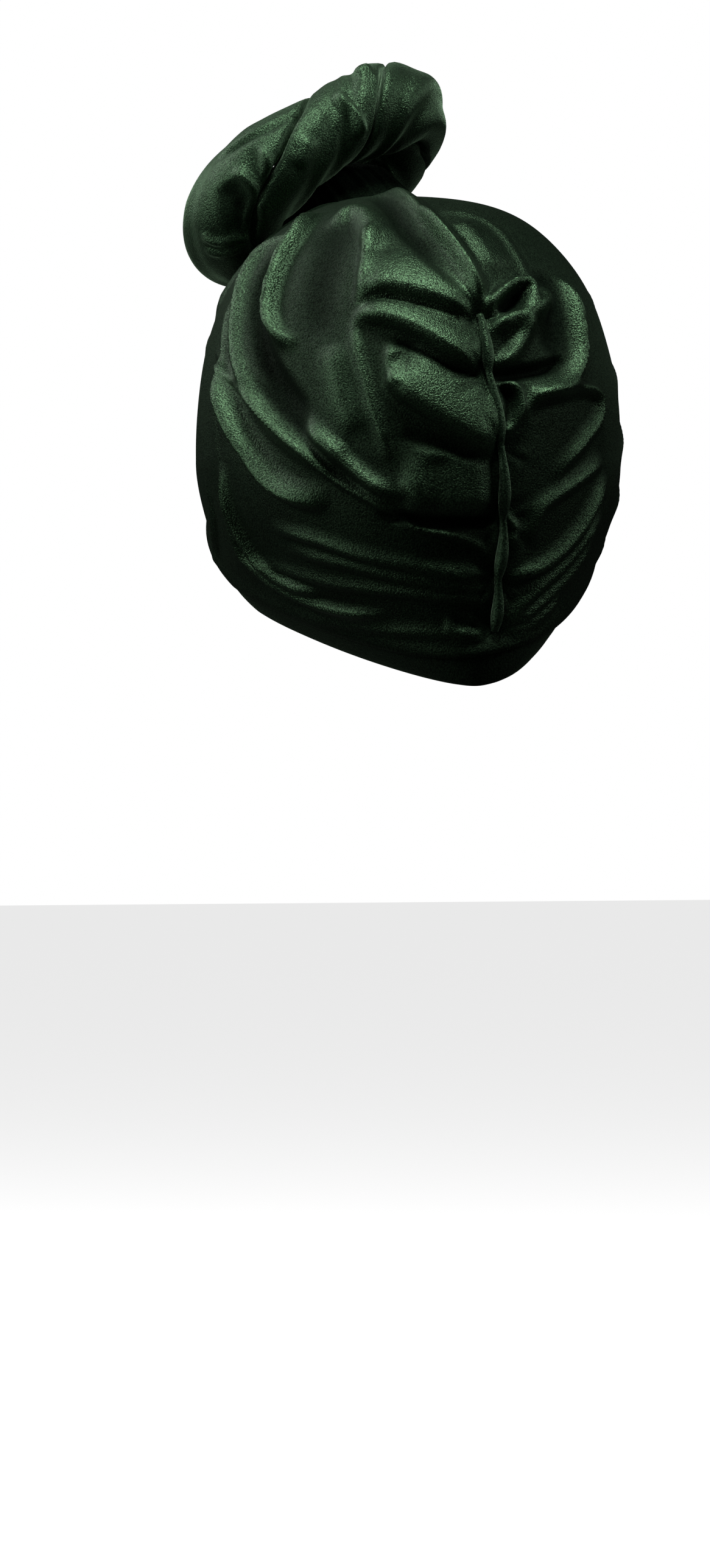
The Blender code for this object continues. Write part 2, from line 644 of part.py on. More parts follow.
def knot_neck(tree, place, parent, collection):
    """The gathered cloth in the middle of the knot, flaring out under it to the crown."""
    face = loop_axes()[2]
    foot = np.full(NECK_SIDES, -0.9 * ROPE_RADIUS)
    for _ in range(4):
        edge = neck_ring(place, foot) - face * foot[:, None]
        foot = np.array([drop_to_crown(tree, point, face) for point in edge])
    bottom = neck_foot(tree, edge, face)
    foot = (bottom[0] - edge) @ face
    rings = [neck_ring(place, NECK_TOP)]
    rings += [neck_ring(place, share * foot) for share in (0.0, 0.3, 0.55, 0.8)]
    points = np.vstack(rings + [bottom[0], bottom[1], bottom[2], bottom[3][:1]])
    rows = len(rings) + 3
    faces = [tuple(range(NECK_SIDES))]
    for row in range(rows - 1):
        for side in range(NECK_SIDES):
            a, b = row * NECK_SIDES + side, row * NECK_SIDES + (side + 1) % NECK_SIDES
            faces += [(a, b, b + NECK_SIDES), (a, b + NECK_SIDES, a + NECK_SIDES)]
    last = (rows - 1) * NECK_SIDES
    for side in range(NECK_SIDES):
        faces.append((last + side, last + (side + 1) % NECK_SIDES, len(points) - 1))
    return closed_piece("knot_neck", points, faces, parent, collection)


def build():
    """Clear the scene and make every piece of the headwrap."""
    for thing in list(bpy.data.objects):
        bpy.data.objects.remove(thing, do_unlink=True)
    collection = bpy.data.collections.new("turban_headwrap")
    bpy.context.scene.collection.children.link(collection)
    head = bpy.data.objects.new("head_level", None)
    head.location = (0.0, 0.0, -SEAT_RISE)
    collection.objects.link(head)
    tree = crown(head, collection)
    hem_band(head, collection)
    back_seam(tree, head, collection)
    place = knot_place(tree)
    knot_strand("knot_strand_a", place, 0.0, head, collection)
    knot_strand("knot_strand_b", place, math.pi, head, collection)
    knot_neck(tree, place, head, collection)


build()
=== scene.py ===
"""A velvet turban headwrap in its worn shape, dressed for a soft white studio.

The front is -Y and the wearer's left is +X. Shapes are worked out about the cap's widest level
and then lowered by SEAT_RISE into the row frame. The folds that the photograph shows are charted
by its pixels: each is a short row of points, thrown along the camera's rays onto the cloth.
"""

import math

import bpy
import numpy as np
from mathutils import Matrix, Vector
from mathutils.bvhtree import BVHTree


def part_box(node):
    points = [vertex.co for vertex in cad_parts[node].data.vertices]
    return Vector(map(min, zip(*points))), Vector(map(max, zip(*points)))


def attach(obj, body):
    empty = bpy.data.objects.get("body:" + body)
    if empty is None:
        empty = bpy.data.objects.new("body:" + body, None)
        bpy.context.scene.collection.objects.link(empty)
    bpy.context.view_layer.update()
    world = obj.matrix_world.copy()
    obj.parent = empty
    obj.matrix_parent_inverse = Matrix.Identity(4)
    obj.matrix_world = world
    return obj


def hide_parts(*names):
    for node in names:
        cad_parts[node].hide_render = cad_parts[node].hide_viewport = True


# Sizes of the cap, the same as the solids' (metres)
HALF_BREADTH = 0.085
HALF_LENGTH = 0.103
DOME_RISE = 0.108
NAPE_DROP = 0.097
CLOTH = 0.0018
DOME_POWER = 2.4
CHEEK_PULL = 0.73
CHEEK_POWER = 1.72
NAPE_SQUARE = 0.5
NAPE_PULL = 0.168
NAPE_POWER = 1.4
NAPE_END = 1.1
RIM_DROP = 0.65
RIM_SLOPE = 0.37
RIM_ROLL = 0.26
ROLL_START = -1.64
ROLL_SPREAD = 0.53
BAND_HEIGHT = 0.016
BAND_THICK = 0.0024
SEAT_RISE = DOME_RISE - CLOTH
RIM_LEVEL = -NAPE_DROP * RIM_DROP

# How far the crown's edge comes down over the hem band, how far it stands off there, and the
# height over which that fades
CROWN_LAP = 0.0015
LAP_RISE = 0.0026
LAP_SPAN = 0.006

# Section of the hem band: shares of its height above the rim, and of its thickness inwards
BAND_SECTION = [(1.05, 0.0), (0.8, -0.02), (0.55, -0.05), (0.3, -0.02), (0.12, 0.04), (0.03, 0.2),
                (0.0, 0.5), (0.03, 0.8), (0.15, 1.0), (0.6, 1.0), (1.05, 1.0)]

# Height of a full fold and its half width
FOLD_HEIGHT = 0.0066
FOLD_WIDTH = 0.0130

# Profile of a fold: how much of it is a crisp ridge, how that ridge is rounded, the share of its
# length that fades at an end, the blend from its wide side to its narrow one, how late it fades
# where the cloth turns away from it, and the room round it that is looked through
CRISP_SHARE = 0.45
RIDGE_ROUND = 0.003
RIDGE_POWER = 1.5
FADE_SHARE = 0.22
LEAN_BLEND = 0.12
TURN_GAIN = 2.0
FOLD_MARGIN = 0.003

# Folds die out towards the hem band: how far below its top they end, and the height that takes
CALM_START = 0.002
CALM_SPAN = 0.011

# The front's folds reach only this share of the way round on the left
LEFT_REACH = 0.50

# Painted light: a fold's lift as a share of a full fold's, carried to the velvet, where it paints
# shade into the fold hollows and a highlight of extra gloss onto the ridges. It is set for the
# neck, as painted shade, and for the seam, as a painted highlight, and added to the knot's to paint
# the knot lighter
NECK_PAINTED_SHADE = -0.45
KNOT_PAINTED_LIGHT = 0.40
SEAM_PAINTED_HIGHLIGHT = 0.30

# Seam: its width and height, the least share of them and the swell between two gathers, its
# sideways bow, how far it stands off the cloth, and the dents where it is caught
SEAM_WIDTH = 0.0050
SEAM_RISE = 0.0030
SEAM_LEAST = 0.55
SEAM_SWELL = 0.45
SEAM_SWELL_POWER = 1.8
SEAM_BOW = 0.0008
SEAM_STAND = 0.0004
PINCH_REACH = 1.6
PINCH_DEPTH = 0.6

# Puckers round each gather: their height, where they are highest, how far that spreads and where
# they start, then waves as a share of the height, a number and a shift from gather to gather
PUCKER_HEIGHT = 0.00035
PUCKER_RING = 0.008
PUCKER_SPREAD = 0.006
PUCKER_START = 0.003
PUCKERS = [(1.0, 9.0, 1.7), (0.6, 14.0, 2.9)]

# Unevenness of the cap: share of the height, radians to a metre along z, x and y, and phase
RIPPLE_HEIGHT = 0.0003
RIPPLES = [(1.0, 40, 61, 0, 0.0), (1.0, -35, 0, 83, 1.3), (0.6, 120, 70, -50, 0.0)]

# Knot and its neck, the same as the solids'
KNOT_HALF_WIDTH = 0.0430
KNOT_HALF_DEPTH = 0.0255
ROPE_RADIUS = 0.0185
KNOT_STAND = 0.0305
KNOT_SIDE_TILT = 27.0
KNOT_PITCH = 45.0
KNOT_FOOT = (0.0, -0.44)
LOOP_POWER = 2.5
NECK_FLARE = 0.010
NECK_TOP = 0.007
NECK_WAIST = 0.75
NECK_END = 1.35
NECK_DRAW = 0.55
STRAND_GAP = 0.0005
STRAND_HEART = 0.42
STRAND_SOFT = 7.0
STRAND_TWIST = [(0.0, 0.0), (0.07, 0.06), (0.13, 0.20), (0.20, 0.45), (0.28, 0.69),
                (0.36, 0.83), (0.50, 0.97), (0.75, 1.45), (1.0, 2.0)]
ROPE_SWELL = [(0.0, 0.92), (0.13, 1.04), (0.26, 0.88), (0.37, 1.05), (0.50, 1.12), (0.70, 1.0),
              (1.0, 0.92)]

# The neck's own: its room beyond the rope's radius, how far its foot spreads, and its flutes as
# a share of the depth, a number and a phase
NECK_CLEAR = 0.0016
NECK_SPREAD = 0.15
SPREAD_POWER = 1.5
FLUTE_DEPTH = 0.0007
FLUTES = [(0.5, 21, 0.0), (0.35, 34, 1.0), (0.25, 13, 0.0)]

# The neck's top, tucked in: shares of its width, its level, its hollow and its flutes
TOP_SHARES = (0.15, 0.5, 0.8)
TOP_LEVEL = 0.8
TOP_HOLLOW = 0.004
TOP_FLUTE_DEPTH = 0.0006

# The search for the neck's foot: first depth as a share of the rope's radius, and passes
FOOT_GUESS = 0.9
FOOT_PASSES = 4

# Where a strand shows its creases, from the middle of its round side, as a base and a swing
SHOWN_BASE = 1.2
SHOWN_SWING = 2.0

# Wrinkles along the strands, and the seed of each strand's draws
WRINKLE_HEIGHT = 0.00045
WRINKLES = 7
WRINKLE_SEEDS = {"a": 5, "b": 8}

# Mesh fineness, the solids' own round the knot's loop, and points along a path
CROWN_COLUMNS = 288
CROWN_ROWS = 160
BACK_CROWDING = 0.33
LOOP_STATIONS = 288
STRAND_SIDES = 60
SEAM_STATIONS = 150
SEAM_SIDES = 12
NECK_SIDES = 168
NECK_RINGS = 14
SOLID_STATIONS = 56
SOLID_SIDES = 12
FOLD_POINTS = 40
KNOT_FOLD_POINTS = 30
SPAN_POINTS = 16

# Searches: reach of a ray, times that it is halved, step for a slope, how far and in how many
# steps a ray that misses is searched, and the angles between which the rim is looked for
RAY_REACH = 0.25
RAY_HALVINGS = 34
SLOPE_STEP = 0.0004
MISS_REACH = 0.06
MISS_STEPS = 61
RIM_ANGLES = (30.0, 172.0)
RIM_HALVINGS = 30

# Camera: the photograph's size in pixels, metres to a pixel at the cap, and where it stands
PHOTO_WIDTH = 1166
PHOTO_HEIGHT = 2576
PIXEL = 0.0002517
VIEW_AZIMUTH = 157.0
VIEW_DISTANCE = 2.6
VIEW_DROP = 0.135
VIEW_ASIDE = -0.0214
VIEW_LENS = 144.0
SENSOR = 36.0

# Studio: the floor's drop, half width and look, and the light that the surround gives
FLOOR_DROP = 0.537
FLOOR_HALF = 12.0
FLOOR_WHITE = 0.93
FLOOR_ROUGHNESS = 0.9
FLOOR_BOUNCE = 0.05
FLOOR_GLOW = 0.8
SURROUND_LIGHT = 0.015

# Lights: name, metres to the camera's right, towards it and up, size, watts, and height aimed at
LIGHTS = [
    ("top", 0.0, 0.55, 1.4, (0.5, 0.5), 18.0, 0.0),
    ("left", -1.2, -0.35, 1.0, (0.7, 0.7), 8.0, 0.05),
    ("left_low", -1.6, 0.5, 0.25, (0.5, 0.5), 6.0, 0.1),
    ("right", 1.4, 0.2, 0.7, (0.4, 0.6), 4.0, 0.0),
]

# Velvets: the body's dark and light colours, sheen, and a number that moves the noise along
VELVETS = {
    "velvet_crown": ((0.0010, 0.0024, 0.0014), (0.0024, 0.0058, 0.0032), 0.04, 1),
    # The knot's copy has a lighter body and full sheen: the same cloth as the crown, painted
    # lighter
    "velvet_knot": ((0.0022, 0.0054, 0.0030), (0.0052, 0.0124, 0.0066), 1.0, 2),
    "velvet_neck": ((0.0010, 0.0034, 0.0020), (0.0018, 0.0060, 0.0034), 0.05, 3),
    "velvet_band": ((0.0014, 0.0036, 0.0020), (0.0028, 0.0068, 0.0038), 0.15, 4),
    # The seam's copy has a lighter body and more sheen: a painted highlight along the seam
    "velvet_seam": ((0.0024, 0.0060, 0.0034), (0.0040, 0.0100, 0.0056), 0.60, 5),
}
# Painted shade: the near-black that fold hollows and the neck are painted towards
PAINTED_HOLLOW_SHADE = (0.0006, 0.0016, 0.0010)
SPECULAR_TINT = (0.50, 1.0, 0.50)
SHEEN_TINT = (0.38, 0.62, 0.38)
SHEEN_ROUGHNESS = 0.38
NOISE_MOVE = (0.37, 0.21, 0.13)

# Noises of the velvet: scale, detail and distortion
BRUSHED = (26.0, 4.0, 0.8)
PILE = (1500.0, 2.0, 0.0)
CLUMPS = (420.0, 3.0, 0.4)

# What a noise or the painted light does: the two ends of its own range, and what they become
BRUSHED_TO_COLOUR = (0.35, 0.68, 0.0, 1.0)
PILE_TO_COLOUR = (0.3, 0.7, 0.55, 1.6)
PAINTED_LIGHT_TO_COLOUR = (-0.55, 0.15, 0.0, 1.0)
PAINTED_LIGHT_TO_GLOSS = (-0.35, 0.80, 0.12, 1.05)
PILE_TO_GLOSS = (0.35, 0.65, 0.35, 1.65)
CLUMPS_TO_ROUGHNESS = (0.3, 0.7, 0.33, 0.43)
PAINTED_LIGHT_TO_ROUGHNESS = (-0.35, 0.35, 0.34, 0.0)

# Bumps: strength and depth of the clumps and of the pile
CLUMP_BUMP = (0.12, 0.0006)
PILE_BUMP = (0.9, 0.0004)

UP = np.array([0.0, 0.0, 1.0])

# Folds of the cap: name, shares of FOLD_HEIGHT and FOLD_WIDTH, lean from -1 to 1 (above 0 is
# wider on the path's right hand), and the photograph's pixels that the fold passes
CROWN_FOLDS = [
    ("crest_low", 0.60, 0.42, -0.35,
     [(688, 350), (716, 382), (745, 416), (769, 456), (786, 496), (794, 520)]),
    ("crest", 0.70, 0.48, -0.35,
     [(596, 280), (638, 306), (677, 336), (706, 370), (737, 405), (763, 446), (781, 486),
      (793, 520)]),
    ("crest_hollow", -0.35, 0.45, 0.0,
     [(612, 312), (656, 362), (702, 414), (742, 458), (774, 504)]),
    ("second_top", 0.60, 0.70, 0.0, [(546, 376), (574, 350), (600, 352), (613, 376), (618, 412)]),
    ("second_panel", 1.05, 1.30, -0.55,
     [(588, 480), (612, 472), (648, 470), (692, 480), (740, 498), (780, 518)]),
    ("second_side", 0.50, 0.40, -0.3, [(602, 376), (601, 430), (593, 470), (584, 505)]),
    ("first_gap", -0.30, 0.20, 0.0,
     [(584, 510), (604, 496), (640, 489), (690, 498), (740, 512), (787, 526)]),
    ("third_ridge", 1.05, 0.80, -0.50,
     [(578, 516), (620, 520), (660, 530), (700, 549), (745, 577), (790, 604)]),
    ("second_gap", -0.25, 0.20, 0.0,
     [(640, 572), (662, 562), (700, 580), (745, 603), (794, 618)]),
    ("fourth_ridge", 1.00, 1.25, -0.55,
     [(634, 614), (668, 642), (710, 669), (755, 697), (800, 726), (822, 740)]),
    ("fourth_side", 0.50, 0.40, -0.3, [(644, 562), (640, 600), (650, 640)]),
    ("fourth_gap", -0.25, 0.36, 0.0, [(655, 712), (700, 722), (745, 733), (802, 752)]),
    ("pocket_line", 0.45, 0.32, 0.3,
     [(581, 520), (587, 562), (600, 612), (615, 662), (630, 710), (641, 758)]),
    ("low_panel", 0.60, 1.50, -0.5, [(648, 800), (700, 815), (760, 821), (814, 818)]),
    ("low_panel_dent", -0.20, 0.60, 0.0, [(716, 750), (720, 795), (714, 840)]),
    ("low_gap", -0.60, 0.28, -0.2, [(620, 842), (690, 857), (745, 862), (824, 854)]),
    ("long_left", 0.40, 0.20, -0.3,
     [(352, 572), (376, 612), (403, 643), (450, 693), (500, 740), (550, 786), (600, 816),
      (640, 840), (690, 868), (740, 880), (790, 900), (816, 940)]),
    ("long_left_gap", -0.25, 0.50, 0.0,
     [(408, 622), (458, 672), (510, 722), (562, 768), (612, 802)]),
    ("bright_sweep", 1.10, 0.55, -0.35,
     [(366, 600), (376, 652), (394, 708), (418, 756), (450, 794), (492, 818), (540, 830)]),
    ("middle_band", 0.95, 0.50, -0.2,
     [(498, 696), (538, 732), (576, 763), (614, 792), (664, 820)]),
    ("middle_band_gap", -0.40, 0.45, 0.0, [(560, 735), (600, 768), (640, 800), (680, 830)]),
    ("shoulder_bright", 1.15, 0.40, 0.0,
     [(524, 350), (496, 388), (470, 430), (452, 482), (449, 522), (461, 550), (486, 566)]),
    ("shoulder_gap", -0.22, 1.10, 0.0,
     [(560, 356), (542, 404), (528, 452), (520, 505), (526, 560)]),
    ("shoulder_broad", 0.80, 0.52, 0.0,
     [(492, 378), (440, 408), (410, 452), (396, 502), (392, 560), (402, 612), (424, 658),
      (454, 702), (500, 742), (548, 776)]),
    ("shoulder_hollow", -0.65, 0.60, 0.0,
     [(478, 392), (446, 426), (426, 474), (423, 532), (437, 588), (466, 640), (508, 688)]),
    ("middle_soft", 0.35, 0.90, 0.0, [(545, 560), (550, 610), (562, 660), (590, 710)]),
    ("left_edge_one", 0.40, 0.35, 0.3,
     [(386, 480), (373, 535), (370, 592), (378, 650), (396, 704), (418, 750)]),
    ("left_edge_two", 0.10, 0.30, 0.3,
     [(358, 600), (352, 650), (354, 710), (368, 790), (394, 862)]),
    ("nape_one", 0.36, 0.34, -0.4,
     [(440, 866), (520, 888), (600, 914), (700, 936), (816, 950)]),
    ("nape_two", 0.30, 0.32, -0.4,
     [(418, 918), (500, 946), (600, 968), (700, 980), (816, 984)]),
    ("nape_three", 0.28, 0.30, -0.4,
     [(470, 902), (560, 925), (650, 950), (740, 962), (816, 966)]),
    ("side_sweep", 0.65, 0.40, 0.3,
     [(366, 760), (378, 828), (404, 886), (432, 924), (468, 950), (530, 974)]),
    ("side_sweep_low", 0.60, 0.36, 0.3,
     [(362, 812), (382, 866), (408, 914), (448, 948), (494, 976), (560, 998), (640, 1008)]),
    ("left_rim_sweep", 0.32, 0.24, 0.3,
     [(336, 770), (350, 850), (374, 920), (406, 974), (452, 1016)]),
    ("nape_low_one", 0.28, 0.32, -0.4,
     [(480, 1002), (560, 1022), (640, 1036), (720, 1042), (812, 1041)]),
    ("nape_low_two", 0.34, 0.34, -0.3,
     [(412, 984), (460, 1012), (524, 1038), (610, 1066), (700, 1080), (790, 1064)]),
    ("small_loop", 0.30, 0.22, 0.0, [(738, 1012), (745, 1034), (800, 1040)]),
    ("right_loop", 0.95, 0.30, 0.0,
     [(794, 520), (812, 492), (834, 472), (854, 465), (867, 474), (867, 490), (850, 504)]),
    ("right_pocket", -0.60, 0.30, 0.0, [(820, 512), (840, 496), (858, 484)]),
    ("right_top", 0.40, 1.20, 0.0, [(745, 360), (790, 404), (818, 444)]),
    ("right_top_edge", 0.20, 0.30, 0.0,
     [(712, 345), (762, 350), (812, 372), (842, 406), (862, 446), (872, 480)]),
    ("right_blob", 0.95, 0.50, 0.2,
     [(798, 550), (826, 528), (858, 518), (888, 496), (902, 466)]),
    ("right_patch", 0.70, 0.40, 0.0, [(808, 606), (838, 584), (856, 554), (872, 524)]),
    ("right_hollow", -0.45, 0.80, 0.0, [(888, 440), (906, 490), (914, 540), (896, 580)]),
    ("right_hook", 1.05, 0.44, -0.1,
     [(918, 452), (934, 492), (944, 540), (947, 584), (934, 618), (902, 638), (862, 646)]),
    ("right_gap", -0.80, 0.30, 0.0, [(806, 618), (850, 612), (896, 604), (928, 588)]),
    ("right_arch", 0.60, 0.36, 0.0,
     [(868, 704), (866, 672), (884, 652), (920, 643), (955, 636), (980, 650), (980, 686),
      (956, 724), (926, 764), (912, 798)]),
    ("right_low_one", 0.50, 0.36, 0.2,
     [(990, 752), (945, 792), (896, 828), (880, 862), (872, 896)]),
    ("right_low_two", 0.60, 0.38, 0.2,
     [(995, 778), (976, 822), (948, 872), (896, 926), (828, 952)]),
    ("right_low_three", 0.50, 0.34, 0.2,
     [(988, 838), (960, 882), (930, 922), (878, 972), (818, 1034)]),
    ("right_low_four", 0.45, 0.26, 0.2, [(972, 886), (930, 946), (884, 994), (822, 1037)]),
    ("right_low_five", 0.35, 0.22, 0.0, [(920, 978), (886, 1012), (824, 1040)]),
    ("beside_seam_high", 0.60, 0.26, 0.0, [(814, 624), (846, 634), (852, 672), (828, 726)]),
    ("beside_seam_gap", -0.40, 0.26, 0.0, [(826, 624), (836, 660), (834, 704)]),
    ("beside_seam_low", 0.40, 0.26, 0.0, [(828, 842), (846, 866), (840, 900)]),
]

# Folds of the front, out of that view, for both sides: name, shares of FOLD_HEIGHT and
# FOLD_WIDTH, lean, and points as degrees round from the front and shares of DOME_RISE up
FRONT_FOLDS = [
    ("brow_one", 0.36, 0.45, 0.3, [(6, 0.52), (26, 0.20), (50, -0.02), (80, -0.16)]),
    ("brow_between", 0.22, 0.30, 0.3, [(10, 0.57), (30, 0.28), (56, 0.06), (84, -0.08)]),
    ("brow_two", 0.36, 0.50, 0.3, [(14, 0.62), (36, 0.38), (60, 0.16), (88, 0.0)]),
    ("temple_low", 0.22, 0.30, 0.3, [(20, 0.65), (44, 0.45), (68, 0.25), (94, 0.09)]),
    ("temple_one", 0.40, 0.55, 0.2, [(26, 0.68), (50, 0.52), (74, 0.34), (98, 0.18)]),
    ("temple_mid", 0.22, 0.30, 0.2, [(34, 0.72), (58, 0.59), (82, 0.43), (100, 0.27)]),
    ("temple_two", 0.40, 0.55, 0.2, [(44, 0.76), (66, 0.66), (88, 0.52), (104, 0.38)]),
    ("side_top", 0.40, 0.60, 0.2, [(70, 0.88), (90, 0.80), (106, 0.68), (116, 0.54)]),
    ("side_high", 0.30, 0.45, 0.2, [(60, 0.97), (80, 0.92), (98, 0.84), (112, 0.72)]),
]

# Folds that run on round the right side to the back, charted in the same way
SIDE_FOLDS = [
    ("round_high", 0.20, 0.42, 0.3, [(70, 0.60), (92, 0.50), (112, 0.37), (128, 0.24)]),
    ("round_middle", 0.26, 0.40, 0.3, [(72, 0.38), (94, 0.26), (114, 0.12), (132, -0.02)]),
    ("round_low", 0.20, 0.40, 0.3, [(74, 0.18), (96, 0.05), (116, -0.10), (136, -0.24)]),
    ("round_rim", 0.18, 0.34, 0.3, [(76, 0.0), (98, -0.13), (118, -0.28), (138, -0.42)]),
]

# The centre-back seam: pixels where its gathers are caught
SEAM_LINE = [(788, 516), (803, 612), (822, 730), (826, 850), (818, 950), (812, 1036)]

# Creases and lobes of the knot: name, shares of FOLD_HEIGHT and FOLD_WIDTH, lean, and pixels
KNOT_FOLDS = [
    ("top_groove", -0.35, 0.24, 0.0, [(506, 178), (464, 195), (426, 214), (386, 238), (352, 264)]),
    ("pinch", 0.45, 0.34, 0.3, [(548, 150), (568, 164), (584, 184), (594, 206), (592, 226)]),
    ("middle_soft", 0.30, 0.50, 0.0, [(508, 222), (502, 246), (490, 272)]),
    ("inner_edge", 0.55, 0.30, 0.0, [(428, 236), (437, 262), (437, 290), (432, 318), (424, 346)]),
    ("inner_shadow", -0.20, 0.60, 0.0, [(420, 236), (422, 275), (416, 315), (402, 356)]),
    ("ear_edge", 0.50, 0.34, 0.0, [(384, 276), (408, 298), (420, 328), (424, 360)]),
    ("ear_hollow", -0.45, 0.75, 0.0, [(372, 296), (386, 326), (398, 356), (404, 388)]),
    ("arc_one", 0.35, 0.20, 0.0, [(330, 384), (358, 396), (396, 385)]),
    ("arc_two", 0.35, 0.20, 0.0, [(336, 408), (364, 414), (398, 401)]),
    ("tip_lobe", 0.50, 0.50, 0.0, [(582, 122), (598, 114), (612, 110)]),
]


def unit(vectors):
    """Vectors along the last axis, each made 1 long."""
    return vectors / np.linalg.norm(vectors, axis=-1, keepdims=True)


def way_round(degrees):
    """The level way out at a turn from the front."""
    turn = math.radians(degrees)
    return np.array([math.sin(turn), -math.cos(turn), 0.0])


def view_axes():
    """Right, and the way to the camera, in the photograph's view."""
    turn = math.radians(VIEW_AZIMUTH)
    return np.array([math.cos(turn), math.sin(turn), 0.0]), way_round(VIEW_AZIMUTH)


def eye_point():
    """Where the camera stands."""
    right, to_eye = view_axes()
    return to_eye * VIEW_DISTANCE + right * VIEW_ASIDE - UP * VIEW_DROP


def pixel_point(column, row):
    """The point that a pixel shows on the upright plane through the cap's axis."""
    right, _ = view_axes()
    aside = (column - 0.5 * PHOTO_WIDTH) * PIXEL + VIEW_ASIDE
    high = (0.5 * PHOTO_HEIGHT - row) * PIXEL - VIEW_DROP
    return right * aside + UP * high


def level(points):
    """1 on the crown's smooth form, less inside it and more outside."""
    x, y, z = points[..., 0], points[..., 1], points[..., 2]
    flat = np.hypot(x / HALF_BREADTH, y / HALF_LENGTH)
    rise = np.clip(z, 0.0, None) / DOME_RISE
    dome = (flat ** DOME_POWER + rise ** DOME_POWER) ** (1.0 / DOME_POWER)
    drop = np.clip(-z / NAPE_DROP, 0.0, NAPE_END)
    breadth = HALF_BREADTH * (1.0 - CHEEK_PULL * drop ** CHEEK_POWER)
    length = HALF_LENGTH * (1.0 - NAPE_PULL * drop ** NAPE_POWER)
    power = 2.0 + NAPE_SQUARE * drop
    nape = (np.abs(x / breadth) ** power + np.abs(y / length) ** power) ** (1.0 / power)
    return np.where(z >= 0.0, dome, nape)


def cross_form(start, way):
    """Where rays from inside the smooth form leave it, by halving."""
    near = np.zeros(np.shape(start)[:-1])
    far = near + RAY_REACH
    for _ in range(RAY_HALVINGS):
        middle = 0.5 * (near + far)
        inside = level(start + way * middle[..., None]) < 1.0
        near = np.where(inside, middle, near)
        far = np.where(inside, far, middle)
    return start + way * near[..., None]


def from_middle(ways):
    """Points of the smooth form at these ways out of its middle."""
    return cross_form(np.zeros_like(ways), ways)


def onto_form(points):
    """Points moved straight out of the middle of the smooth form, or towards it, onto the form."""
    return from_middle(unit(points))


def outward(points):
    """Unit normals of the smooth form."""
    slopes = [level(points + SLOPE_STEP * axis) - level(points - SLOPE_STEP * axis)
              for axis in np.eye(3)]
    return unit(np.stack(slopes, axis=-1))


def seen_point(column, row):
    """The point of the smooth form that a pixel of the photograph shows."""
    start = pixel_point(column, row)
    way = unit(eye_point() - start)
    if level(start) < 1.0:
        return cross_form(start, way)
    steps = start + way * np.linspace(-MISS_REACH, MISS_REACH, MISS_STEPS)[:, None]
    return onto_form(steps[np.argmin(level(steps))])


def round_point(degrees, up):
    """The point of the smooth form at a turn from the front and a share of DOME_RISE up."""
    return cross_form(UP * up * DOME_RISE, way_round(degrees))


def lengths_along(points):
    """Length of a path up to each of its points."""
    return np.concatenate([[0.0], np.cumsum(np.linalg.norm(np.diff(points, axis=0), axis=1))])


def points_at(marks, along, points):
    """Points at these lengths along a path."""
    return np.stack([np.interp(marks, along, points[:, axis]) for axis in range(3)], axis=-1)


def smooth_path(points, count):
    """A smooth path through points (a Catmull-Rom spline), as count points evenly spaced."""
    points = np.asarray(points, dtype=float)
    ends = np.vstack([2 * points[0] - points[1], points, 2 * points[-1] - points[-2]])
    spans = []
    for first in range(len(points) - 1):
        a, b, c, d = ends[first:first + 4]
        for share in np.linspace(0.0, 1.0, SPAN_POINTS, endpoint=False):
            spans.append(0.5 * (2 * b + (c - a) * share + (2 * a - 5 * b + 4 * c - d) * share ** 2
                                + (3 * b - a - 3 * c + d) * share ** 3))
    spans.append(points[-1])
    spans = np.array(spans)
    along = lengths_along(spans)
    return points_at(np.linspace(0.0, along[-1], count), along, spans)


def crown_folds():
    """Height, half width, lean, path and path normals of every fold of the cap."""
    folds = []
    for _, height, width, lean, chart in CROWN_FOLDS:
        path = onto_form(smooth_path([seen_point(*mark) for mark in chart], FOLD_POINTS))
        folds.append((height * FOLD_HEIGHT, width * FOLD_WIDTH, lean, path, outward(path)))
    both = [(fold, ((1, LEFT_REACH), (-1, 1.0))) for fold in FRONT_FOLDS]
    both += [(fold, ((-1, 1.0),)) for fold in SIDE_FOLDS]
    for (_, height, width, lean, chart), sides in both:
        for side, reach in sides:
            marks = [round_point(side * reach * turn, up) for turn, up in chart]
            path = onto_form(smooth_path(marks, FOLD_POINTS))
            folds.append((height * FOLD_HEIGHT, width * FOLD_WIDTH, lean * side, path,
                          outward(path)))
    return folds


